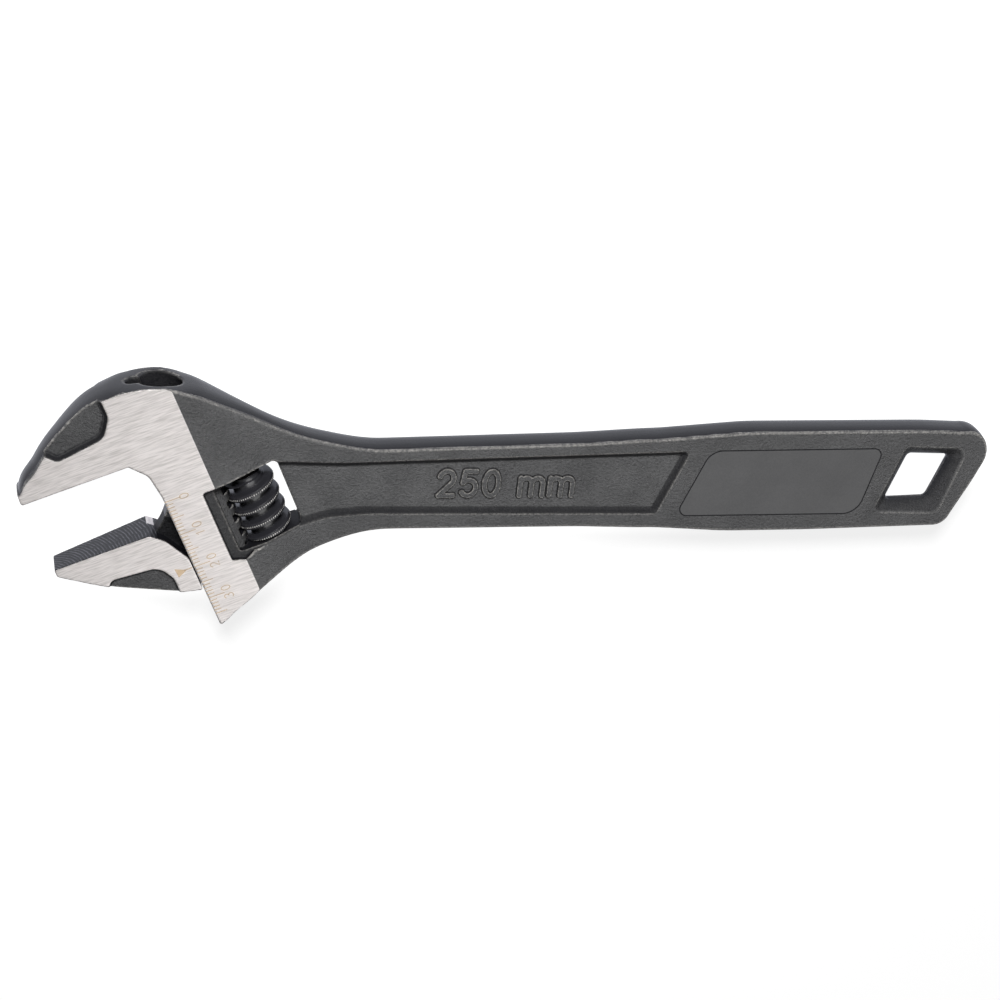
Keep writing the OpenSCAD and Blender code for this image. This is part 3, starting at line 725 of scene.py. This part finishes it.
def bodyLimits(x, y, z, v=body):
    # The body as limits that all hold, each negative inside: forged block with rounded edges, ground faces,
    # window and bores. The block's half thickness falls from the head to the flanges on a cosine curve.
    s, t = toSlide(x, y)
    az = np.abs(z)
    edge = outlineDistance(x, y, loops["outline"])
    near, far = v["shoulder"]
    head, flange = wrench["halfHead"], v["flangeHalf"]
    half = flange + (head - flange) * (1 + np.cos(np.pi * np.clip((s - near) / (far - near), 0, 1))) / 2
    gap = np.maximum(v["groundWidth"] - s, 0)
    half = half - gap * v["groundSlope"] + np.minimum(v["grindRise"] * gap, v["grindAllowance"])
    sideHalf = half
    panel = outlineDistance(x, y, loops["panel"], 4)
    half = v["webHalf"] + (half - v["webHalf"]) * smooth(1 + panel / v["panelWall"])
    handle = fade(x, *v["handleFade"])
    inner = fade(s, *v["innerAcross"]) * fade(t, *v["innerDown"])
    rounding = v["edgeRound"] + v["leftRound"] * fade(s, *v["roundFade"])
    rounding = rounding + (v["insideRound"] - rounding) * inner
    # the narrow sides swell between their edges, less where the part's box ends; the edges themselves drop
    # further back on the crown's left, right of its mouth and along the handle's waist
    left = fade(s, *v["leftFade"]) * (1 - 0.9 * fade(s, *v["farLeftFade"]))
    swell = (v["swell"] * fade(y, *v["topFade"]) * (1 - handle)
             + v["handleSwell"] * handle * fade(x, *v["endSwellFade"]) + v["leftSwell"] * left)
    drop = (v["edgeDrop"] * (1 - handle)
            + v["handleDrop"] * handle * (1 - fade(x, *v["endDropFade"])) + v["leftDrop"] * left
            + v["waistDrop"] * band(x, *v["waistRange"]))
    drop = drop + sum(size * ridge(s, place, spread) for size, place, spread in v["crownDrops"]) * (t < -5)
    crowned = (1 - inner) * (drop - swell * (1 - np.minimum(az / sideHalf, 1) ** v["swellPower"]))
    block = roundMax(edge + crowned, az - half, rounding)
    # the hanging hole opens from its waist to its rim on each face
    opened = np.minimum(az / flange, v["holeReach"]) ** v["holeFlare"]
    waist, rim = (outlineDistance(x, y, loops[name], 8) for name in ("waist", "holeRim"))
    block = roundMax(block, (opened - 1) * waist - opened * rim, v["holeRound"])
    pad = outlineDistance(x, y, loops["pad"], 2)
    block = np.where(pad < 0, np.maximum(block, padFloor(s, z, pad, v)), block)
    ground = np.where(pad < 0, -1.0, groundDistance(s, z))
    land = np.minimum(-outlineDistance(x, y, loops["land"], 2), az - (groundHalf(s) - v["landDepth"]))
    block = roundMax(block, land, v["landRound"])
    window = -outlineDistance(x, y, loops["window"], 2)
    pinHole = np.minimum(v["pinBore"] - np.hypot(s - v["wormAcross"], z), t - v["pinTop"])
    slot = np.minimum(-outlineDistance(x, y, loops["slot"], 2), v["slotHalf"] - az)
    bore, keyway = keyholeParts(s, z)
    keyhole = np.maximum(bore, np.minimum(keyway, v["boreAcross"] - s))
    least, more = v["mouthRound"]
    rounding = least + more * fade(t, *v["mouthFade"])
    block = roundMax(block, keyhole, rounding)
    cut = np.maximum(np.maximum(window, pinHole), np.maximum(slot, keyhole - rounding))
    return np.stack([block, ground, cut])


def bodyTone(x, y, z, v=body):
    # how much darker each place is drawn: plainly darker pad floors and strip before the window, and painted
    # shade on the pad walls, in the hanging hole, on the side of the handle's hollow and in the slide bore's
    # mouth
    s, t = toSlide(x, y)
    pad, land = -outlineDistance(x, y, loops["pad"], 2), -outlineDistance(x, y, loops["land"], 2)
    panel, rim = outlineDistance(x, y, loops["panel"], 4), -outlineDistance(x, y, loops["holeRim"], 4)
    wall = band(pad, *v["wallTone"]) * (s > -22.5)
    panelSide = band(panel, *v["panelTone"]) * (s > 29)
    atMouth = (t < 0) & (np.abs(z) < 6) & (s > 0) & (s < 17)
    mouth = fade(np.maximum(*keyholeParts(s, z)), *v["mouthTone"]) * atMouth
    return np.maximum.reduce([
        v["darkPad"] * fade(pad, 0, 0.3), wall, v["darkLand"] * fade(land, 0, 0.15) * (t < 36),
        v["darkHole"] * fade(rim, -0.1, 0.5), v["darkPanelSide"] * panelSide, mouth])


def wholeBody(x, y, z):
    # all the body's limits at once
    return bodyLimits(x, y, z).max(0)


quickFactor = 1.0


def makeBodyPart(name, low, high, bottom, top, halfDepth, fineness):
    # the body between two values of x; its mesh is made in two parts that meet at splitAt
    step = fineness * quickFactor

    def field(x, y, z):
        return np.maximum(wholeBody(x, y, z), np.maximum(low - x, x - high))
    start, end = (max(low, -36) - 1, bottom, -halfDepth), (min(high, 234) + 1, top, halfDepth)
    points, quads, normals, zones = fieldSurface(field, start, end, step, bodyLimits)
    # where the two parts meet, the shading follows the skin that runs on from one to the other
    meet = np.nonzero(np.minimum(np.abs(points[:, 0] - low), np.abs(points[:, 0] - high)) < 1.5 * step)[0]
    skin = np.ones(len(points), bool)
    skin[meet] = np.abs(wholeBody(*points[meet].T)) < 0.1
    outer = meet[skin[meet]]
    normals[outer] = fieldSlope(wholeBody, points[outer])
    piece = makeMesh(name, points, quads, [materials[key] for key in ("forged", "ground", "bore")], zones,
                     normals, bulge=bulgeOf(points, quads, normals, skin), tone=bodyTone(*points.T))
    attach(piece, "handle")
    print(name, "made:", len(quads) * 2, "triangles")
    return piece


headPiece = makeBodyPart("bodyHead", -99, body["splitAt"], *body["headRoom"], wrench["headStep"])
makeBodyPart("bodyHandle", body["splitAt"], 999, *body["handleRoom"], wrench["handleStep"])
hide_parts("body")


jaw = {
    "barRadius": 4.85, "barTop": -14.5, "barEnd": 23.5, "neckHalf": 2.2, "faceRound": 0.15, "barRound": 0.5,
    "pitch": 4.2, "leadRadius": 6.175, "gapFloor": 14.02, "gapHalf": 0.93, "gapPlace": 9.345,
    "gapFlank": 15.0, "gapRound": 0.12, "padDepth": 0.8, "padWall": 0.5,
    # how much darker the pads are drawn, and where painted shade lies on their walls
    "darkPad": 0.3, "wallTone": (0.0, 0.2, 0.4, 0.7),
    "milledPart": (-5.5, -2.5), "facet": (-7.0, -5.6, -1.4, -1.5),     # limits across and up, and for z
    # corners of the space the jaw needs, across and down, and half its depth
    "room": ((-34, 18), (17, 18), (-34, 42), (17, 45), (5, 4), (17, 4)), "roomHalf": 8,
}
jawLoops = {
    "outline": cornerArcs([[-32.4, 0, 0.5], [-32.4, -2, 0.8], [-22.03, -9.8, 60], [-5.51, -18.33, 20],
                           [-0.3, -19.6, 0.5], [-0.3, -9.6, 4], [-3.66, -3.17, 6], [-6.9, 0, 0.8]], 1.5),
    "neck": cornerArcs([[-9.7, -9.6, 0], [-6.9, -2.4, 0], [-2.9, 0.6, 12], [0, 4, 0.5], [10.8, 4, 0],
                        [10.8, -18.6, 0], [-6.9, -15.6, 0]], 3),
    "pad": cornerArcs([[-22.5, -22, 0], [-22.5, -10.8, 0], [-20.7, -8.1, 2.25], [-8.2, -9.2, 4.5],
                       [-5.8, -13.7, 4.5], [-5.8, -22, 0]], 6),
}


def toJaw(x, y):
    # across and up from the jaw's own face
    s, t = toSlide(x, y)
    return s, wrench["opening"] - t


def jawLimits(x, y, z, v=jaw):
    # jaw block between its ground faces, with pads sunk in them, joined to the neck and to the round rack
    # bar; the rack's gaps repeat along the bar at the thread's pitch and lean by its lead
    s, d = toJaw(x, y)
    az = np.abs(z)
    edge = outlineDistance(s, d, jawLoops["outline"])
    pad = outlineDistance(s, d, jawLoops["pad"], 2)
    padCut = padFloor(s, z, pad, v)
    ground = roundMax(edge, groundDistance(s, z), v["faceRound"])
    block = np.where(pad < 0, np.maximum(ground, padCut), ground)
    neck = np.maximum(outlineDistance(s, d, jawLoops["neck"], 4), az - v["neckHalf"])
    bar = np.hypot(s - body["boreAcross"], z) - v["barRadius"]
    top, end, pitch = v["barTop"], v["barEnd"], v["pitch"]
    bar = roundMax(bar, np.abs(d + (top + end) / 2) - (end - top) / 2, v["barRound"])
    lead = math.atan(pitch / (2 * math.pi * v["leadRadius"]))
    along = (d + v["gapPlace"] + z * math.tan(lead) + pitch / 2) % pitch - pitch / 2
    deep = s - v["gapFloor"]
    flank = v["gapHalf"] + deep * math.tan(math.radians(v["gapFlank"]))
    gap = np.maximum(np.abs(along) * math.cos(lead) - flank, -deep)
    return edge, padCut, pad, block, neck, roundMax(bar, -gap, v["gapRound"])


def jawField(x, y, z):
    # the block, the neck and the bar joined
    block, neck, bar = jawLimits(x, y, z)[3:]
    return np.minimum(np.minimum(block, neck), bar)


def jawZones(x, y, z):
    # forged, ground, milled, oiled and neck, in the order of the jaw's materials
    edge, padCut, pad, block, neck, bar = jawLimits(x, y, z)
    s, d = toJaw(x, y)
    away = -5.0     # less than any limit comes to at the skin
    face = np.where(pad < 0, -1, groundDistance(s, z))
    onBlock = np.where(block <= np.minimum(neck, bar), 0.0, away)
    right, bottom = jaw["milledPart"]
    upper = np.where((s < right) & (d > bottom), edge, away)
    forged = np.where(pad < 0, np.maximum(edge, padCut), np.where(upper > away + 1, away, edge))
    left, right, bottom, back = jaw["facet"]
    facet = (s > left) & (s < right) & (d > bottom) & (z < back)
    upper, face = np.where(facet, away, upper), np.where(facet, np.maximum(face, edge), face)
    onBar = np.where((onBlock < 0) & (bar < neck), 0.0, away)
    onNeck = np.where((onBlock < 0) & (bar >= neck), 0.0, away)
    return np.stack([forged + onBlock, face + onBlock, upper + onBlock, onBar, onNeck])


def jawTone(x, y, z):
    # how much darker the pads and all right of them are drawn, with painted shade along the pads' walls
    s, d = toJaw(x, y)
    pad = -outlineDistance(s, d, jawLoops["pad"], 2)
    floor = jaw["darkPad"] * fade(pad, 0, 0.2)
    return np.where(s < -5, np.maximum(floor, band(pad, *jaw["wallTone"])), jaw["darkPad"])


corners = np.array([fromSlide(*place) for place in jaw["room"]])
start, end = (*(corners.min(0) - 1), -jaw["roomHalf"]), (*(corners.max(0) + 1), jaw["roomHalf"])
points, quads, normals, zones = fieldSurface(jawField, start, end, wrench["jawStep"] * quickFactor, jawZones)
jawPiece = makeMesh(
    "movableJaw", points, quads, [materials[key] for key in ("forged", "ground", "milled", "oiled", "bore")],
    zones, normals, bulge=bulgeOf(points, quads, normals), tone=jawTone(*points.T))
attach(jawPiece, "jaw")
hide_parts("movable_jaw")
print("movableJaw made:", len(quads) * 2, "triangles")


worm = {
    "radius": 6.7, "pitch": 4.2, "depth": 2.1, "length": 16.3, "bottom": 33.3, "start": 201.0, "bore": 2.05,
    "columns": 320, "rows": 150, "crestHalf": 0.66, "flank": 0.713, "crowning": 0.18, "crownHalf": 0.7,
    "bead": 0.09, "beadGap": 0.62, "beadSpread": 0.24, "beadLevel": 0.9, "beadWearAndGlint": 0.3,
    "groovePlace": 0.4, "grooveSpread": 0.12, "grooveDepth": 0.07, "chamfer": 0.8, "chamferHeight": 0.6,
    # radius and height above the thread's end, up over the collar and in to the bore
    "collar": ((4.0, 0.0), (4.0, 0.02), (4.0, 1.0), (3.93, 1.2), (3.75, 1.3), (2.3, 1.3), (2.07, 1.28),
               (2.05, 1.2)),
}


def ringQuads(rows, columns, closeEnds=False):
    # quads between neighbouring rings of one grid, closed round each ring
    index = np.arange(rows * columns).reshape(rows, columns)
    if closeEnds:
        index = np.concatenate([index, index[:1]])
    after = np.roll(index, -1, 1)
    return np.stack([index[:-1], after[:-1], after[1:], index[1:]], -1).reshape(-1, 4)


def makeWorm(v):
    # radius as a function of height and angle: a rounded thread whose crest climbs by one pitch a turn, with
    # fine beads along the crest; the profile then runs over the collar and back down the bore
    angle = np.linspace(0, 2 * np.pi, v["columns"], endpoint=False)[None, :]
    height = np.linspace(0, v["length"], v["rows"])[:, None]
    crestAt = math.radians(v["start"]) + 2 * np.pi * height / v["pitch"]
    away = (((angle - crestAt) / (2 * np.pi) + 0.5) % 1 - 0.5) * v["pitch"]     # from the nearest crest
    drop = smooth((np.abs(away) - v["crestHalf"]) / v["flank"])
    run = (angle + 2 * np.pi * np.floor((crestAt - angle) / (2 * np.pi) + 0.5)) * v["radius"]
    bead = np.cos(2 * np.pi * run / v["beadGap"]) * ridge(away, 0, v["beadSpread"])
    radius = (v["radius"] - v["depth"] * drop + v["bead"] * (bead - v["beadLevel"]) * (drop < 0.02)
              - v["grooveDepth"] * ridge(np.abs(away), v["groovePlace"], v["grooveSpread"])
              - v["crowning"] * np.minimum((away / v["crownHalf"]) ** 2, 1))
    ends = np.minimum(height, v["length"] - height)
    radius = np.minimum(radius, v["radius"] - v["chamfer"] * (1 - smooth(ends / v["chamferHeight"])))
    # rings across the lower end face, then the thread, the upper end face and the collar
    first, last = radius[:1], radius[-1:]
    below = [v["bore"], v["bore"] + 0.02, first * 0.5 + 1.0, first - 0.02]
    above = [last - 0.02, np.maximum(last * 0.5 + 2.1, 4.05)] + [r for r, h in v["collar"]]
    levels = [0] * len(below) + [height] + [v["length"] + h for h in (0, 0, *(h for r, h in v["collar"]))]
    flat = np.ones_like(angle)
    radii = np.concatenate([r * flat for r in (*below, radius, *above)])
    heights = np.concatenate([h * flat for h in levels])
    x, y = fromSlide(body["wormAcross"] + radii * np.cos(angle), v["bottom"] - heights)
    points = np.stack([x, y, -radii * np.sin(angle)], -1)
    # the bead tops take the lighter rubbed colour: worn crest and painted glints together
    wornAndHighlight = np.zeros(radii.shape)
    wornAndHighlight[len(below):len(below) + len(height)] = v["beadWearAndGlint"] * smooth(bead)
    return points.reshape(-1, 3), ringQuads(*radii.shape, closeEnds=True), wornAndHighlight.ravel()


points, quads, wornAndHighlight = makeWorm(worm)
wormPiece = makeMesh("wormScrew", points, quads, [materials["oiled"]], bulge=wornAndHighlight)
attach(wormPiece, "worm")
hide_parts("worm")
print("worm made:", len(quads) * 2, "triangles")

for nodeName, materialName in (("worm_pin", "pin"), ("worm_spring", "spring")):
    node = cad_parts[nodeName]
    node.data.materials.clear()
    node.data.materials.append(materials[materialName])


def arc(cx, cy, rx, ry, start, end, count=18):
    # points on an ellipse about its middle, between two angles in degrees
    angle = np.radians(np.linspace(start, end, count))
    return np.stack([cx + rx * np.cos(angle), cy + ry * np.sin(angle)], -1)


def glyphStrokes(letter):
    # centre lines of a plain rounded letter, one unit tall, and its width
    if letter == "0":
        return [arc(0.3, 0.5, 0.27, 0.5, 0, 360, 33)], 0.6
    if letter == "1":
        return [np.array([[0.12, 0.76], [0.34, 1.0], [0.34, 0.0]])], 0.6
    if letter == "2":
        return [np.concatenate([arc(0.29, 0.70, 0.27, 0.30, 165, -30), [[0.02, 0.0], [0.58, 0.0]]])], 0.6
    if letter == "3":
        return [arc(0.28, 0.74, 0.25, 0.26, 150, -85), arc(0.28, 0.26, 0.28, 0.26, 85, -150)], 0.58
    if letter == "5":
        top = [[0.54, 1.0], [0.12, 1.0], [0.06, 0.52]]
        return [np.concatenate([top, arc(0.28, 0.32, 0.29, 0.32, 130, -145)])], 0.6
    if letter == "m":
        arches = [np.concatenate([arc(middle, 0.5, 0.22, 0.22, 180, 0, 12), [[middle + 0.22, 0.0]]])
                  for middle in (0.22, 0.66)]
        return [np.array([[0.0, 0.0], [0.0, 0.72]]), *arches], 0.9
    return [], 0.3


def lineOfText(text, height, gap):
    # strokes of a line of letters side by side, in millimetres, and the line's width
    strokes, place = [], 0.0
    for letter in text:
        lines, width = glyphStrokes(letter)
        strokes += [line * height + (place, 0) for line in lines]
        place += (width + gap) * height
    return strokes, place - gap * height


def strokeDistance(x, y, strokes):
    # least distance to any stroke's centre line
    least = np.full(x.shape, 1e12)
    for line in strokes:
        for a, b in zip(line[:-1], line[1:]):
            least = np.minimum(least, squareDistance(x, y, a, b))
    return np.sqrt(least)


marking = {"lift": 0.012, "sunk": 0.05}     # how far a flat mark stands out of its face and reaches into it


def ribbons(paths, width, surface):
    # each path gets a flat bar of this width: four rails beside its line, two on top and two sunk,
    # laid on the surface, a function that turns plane points into millimetre points
    allPoints, allQuads, total = [], [], 0
    for path in paths:
        ahead = unit(np.gradient(path, axis=0))
        side = np.stack([-ahead[:, 1], ahead[:, 0]], -1) * width / 2
        rails = [surface(path + side, marking["lift"]), surface(path - side, marking["lift"]),
                 surface(path - side, -marking["sunk"]), surface(path + side, -marking["sunk"])]
        rows = len(path)
        ends = np.array([[3, 2, 1, 0], np.arange(4) + 4 * (rows - 1)])
        allPoints.append(np.stack(rails, 1).reshape(-1, 3))
        allQuads.append(np.concatenate([ringQuads(rows, 4), ends]) + total)
        total += rows * 4
    return np.concatenate(allPoints), np.concatenate(allQuads)


def onGroundFace(plane, lift):
    # plane points (across, down) on the front ground face, raised by lift
    x, y = fromSlide(plane[:, 0], plane[:, 1])
    return np.stack([x, y, groundHalf(plane[:, 0]) + lift], -1)


def flatPiece(name, points, quads, material, bodyName):
    piece = makeMesh(name, points, quads, [material])
    piece.data.polygons.foreach_set("use_smooth", np.zeros(len(quads), bool))
    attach(piece, bodyName)
    return piece


scale = {
    "start": 12.5, "count": 36, "from": 0.12, "lengths": (4.4, 3.2, 2.0), "width": 0.24,    # the ticks
    "numbers": (0, 10, 20, 30), "digitHeight": 2.3, "digitBase": 6.3, "digitGap": 0.5,
}


def makeScale(v):
    # one tick a millimetre, longer at each fifth and tenth, and the numbers beside them, which read upwards
    paths = []
    tenth, fifth, other = v["lengths"]
    for n in range(v["count"]):
        length = tenth if n % 10 == 0 else fifth if n % 5 == 0 else other
        t = v["start"] + n
        paths.append(np.array([[v["from"], t], [length / 2, t], [length, t]]))
    for n in v["numbers"]:
        strokes, width = lineOfText(str(n), v["digitHeight"], v["digitGap"])
        middle = v["start"] + n + width / 2
        paths += [np.stack([v["digitBase"] - line[:, 1], middle - line[:, 0]], -1) for line in strokes]
    return ribbons(paths, v["width"], onGroundFace)


# the slide coordinates turn the other way round from x and y, so faces made in them are turned back
points, quads = makeScale(scale)
flatPiece("scaleMarks", points, quads[:, ::-1], materials["laser"], "handle")

arrow = {
    "head": ((-4.8, 31.2), (-1.9, 32.6), (-4.6, 33.9)),
    "shaft": ((-2.6, 32.5), (-1.5, 32.5), (-0.45, 32.5)), "shaftWidth": 0.28,
}


def makeArrow(v):
    # a short shaft and a three-cornered head, on the jaw's ground face beside the scale
    head = np.array(v["head"])
    shaft, quads = ribbons([np.array(v["shaft"])], v["shaftWidth"], onGroundFace)
    top, bottom = onGroundFace(head, marking["lift"]), onGroundFace(head, -marking["sunk"])
    points = np.concatenate([shaft, top, bottom])
    a, b, c, d, e, f = range(len(shaft), len(points))
    faces = quads.tolist() + [(a, b, c), (f, e, d), (a, d, e, b), (b, e, f, c), (c, f, d, a)]
    return points, [face[::-1] for face in faces]


points, faces = makeArrow(arrow)
arrowPiece = meshOfFaces("openingArrow", toPart(*points.T), faces, materials["laser"])
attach(arrowPiece, "jaw")


numerals = {
    "text": "250 mm", "height": 7.0, "stroke": 1.45, "gap": 0.26, "rise": 0.62, "wall": (-0.12, 0.30),
    "place": (75.6, -2.45), "turn": -1.3, "step": 0.14, "margin": 1.2, "under": 0.06, "base": 0.4,
    "footShade": 0.22, "footSpread": 0.3, "footDark": 0.95, "edgeLook": 1.5,
}


def makeNumerals(v):
    # raised size numerals: height of the web's face plus a rise that falls off smoothly beside each stroke's
    # centre line; outside the letters the sheet lies just under the web, and a lower sheet closes it
    strokes, width = lineOfText(v["text"], v["height"], v["gap"])
    u, w = np.meshgrid(np.arange(-v["margin"], width + v["margin"], v["step"]),
                       np.arange(-v["margin"], v["height"] + v["margin"], v["step"]), indexing="ij")
    beyond = strokeDistance(u, w, strokes) - v["stroke"] / 2
    rise = v["rise"] * (1 - fade(beyond, *v["wall"]))
    turn = math.radians(v["turn"])
    x = v["place"][0] + u * math.cos(turn) - w * math.sin(turn)
    y = v["place"][1] + u * math.sin(turn) + w * math.cos(turn)
    top = np.stack([x, y, body["webHalf"] - v["under"] + rise], -1).reshape(-1, 3)
    bottom = np.stack([x, y, np.full(x.shape, body["webHalf"] - v["base"])], -1).reshape(-1, 3)
    index = np.arange(x.size).reshape(x.shape)
    sheet = np.stack([index[:-1, :-1], index[1:, :-1], index[1:, 1:], index[:-1, 1:]], -1).reshape(-1, 4)
    rim = np.concatenate([index[:-1, 0], index[-1, :-1], index[:0:-1, -1], index[0, :0:-1]])
    below = rim + x.size
    wall = np.stack([rim, below, np.roll(below, -1), np.roll(rim, -1)], -1)
    quads = np.concatenate([sheet, sheet[:, ::-1] + x.size, wall])
    slopeX, slopeY = np.gradient(rise, v["step"])
    upper = unit(np.stack([-slopeX, -slopeY, np.ones_like(rise)], -1).reshape(-1, 3))
    normals = np.concatenate([upper, np.tile([0.0, 0.0, -1.0], (x.size, 1))])
    # a dark ring just outside each stroke: painted shade at the letters' feet
    footShade = ridge(beyond, v["footShade"], v["footSpread"]).ravel() * v["footDark"]
    return np.concatenate([top, bottom]), quads, normals, np.concatenate([footShade, 0 * footShade])


points, quads, normals, footShade = makeNumerals(numerals)
# the numerals' tops take rubbed wear and painted highlight along their edges, and painted shade in their
# corners
bulge = bulgeOf(points, quads, normals) * np.repeat([numerals["edgeLook"], 0], len(points) // 2)
numeralPiece = makeMesh("sizeNumerals", points, quads, [materials["forged"]], None, normals,
                        bulge=bulge, tone=footShade)
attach(numeralPiece, "handle")


endPanel = {
    "corners": ((149.2, 9.4, 5.0), (199.0, 9.2, 2.2), (194.2, -10.3, 5.5), (141.4, -9.6, 2.2)),
    # size and height of each ring, as shares of the outline and of the rise
    "rings": ((0.9995, -1.5), (0.998, 0), (0.99, 1), (0.8, 1), (0.6, 1), (0.4, 1), (0.2, 1), (0.02, 1)),
    "rise": 0.03, "grooveWidth": 0.34, "grooveLift": 0.02,
}
panelLoop = cornerArcs(endPanel["corners"], 5)[::-1]


def makeEndPanel(v):
    # smooth panel near the handle's end: rings shrunk from its outline to its middle, a little proud of the
    # face, with a rounded rim
    middle = panelLoop.mean(0)
    shares, lifts = np.array(v["rings"]).T
    rings = middle + (panelLoop - middle)[None] * shares[:, None, None]
    z = np.broadcast_to(body["flangeHalf"] + lifts[:, None] * v["rise"], rings.shape[:2])
    points = np.concatenate([rings, z[..., None]], -1).reshape(-1, 3)
    rows, columns = rings.shape[:2]
    inmost = tuple(range(len(points) - columns, len(points)))
    return points, ringQuads(rows, columns).tolist() + [inmost, tuple(range(columns))[::-1]]


points, faces = makeEndPanel(endPanel)
panelPiece = meshOfFaces("endPanel", toPart(*points.T), faces, materials["panel"])
setLayers(panelPiece.data, facing=np.ones(len(points)))
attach(panelPiece, "handle")


def onFlange(plane, lift):
    # plane points on the handle's flange, which is flat, raised by lift
    z = np.full(len(plane), body["flangeHalf"] + lift + endPanel["grooveLift"])
    return np.stack([plane[:, 0], plane[:, 1], z], -1)


# the panel's groove is a flat near-black strip laid on the flange: painted shade standing for the groove
points, quads = ribbons([np.concatenate([panelLoop, panelLoop[:2]])], endPanel["grooveWidth"], onFlange)
flatPiece("panelGrooveShade", points, quads, materials["bore"], "handle")
print("marks made")


def makeFloor(v):
    # one pale flat sheet under the wrench, which glows: a little less on the lower side, where the soft
    # shadows show, and less in reflections
    material, tree, shader = newMaterial("paleFloor")
    place = addNode(tree, "SeparateXYZ", {0: ownPlace(tree)}).outputs
    lower = calculate(tree, "SUBTRACT", place["Y"], multiply(tree, place["X"], v["glowSlope"]))
    share = mapRange(tree, lower, *v["glowFade"], kind="SMOOTHSTEP")
    seen = mixColour(tree, share, (v["floorGlow"],) * 3, (1.0, 1.0, 1.0))
    ray = addNode(tree, "LightPath", {}).outputs["Is Camera Ray"]
    feed(tree, shader, {"Base Color": (v["floorColour"],) * 3, "Emission Strength": 1.0,
                        "Roughness": v["floorRough"], "Specular IOR Level": v["floorSpecular"],
                        "Emission Color": mixColour(tree, ray, v["floorTint"], seen)})
    size, low = v["floorSize"], cadBox[0][2]
    points = [(-size, -size, low), (size, -size, low), (size, size, low), (-size, size, low)]
    meshOfFaces("floor", points, [(0, 1, 2, 3)], material)


makeFloor(studio)
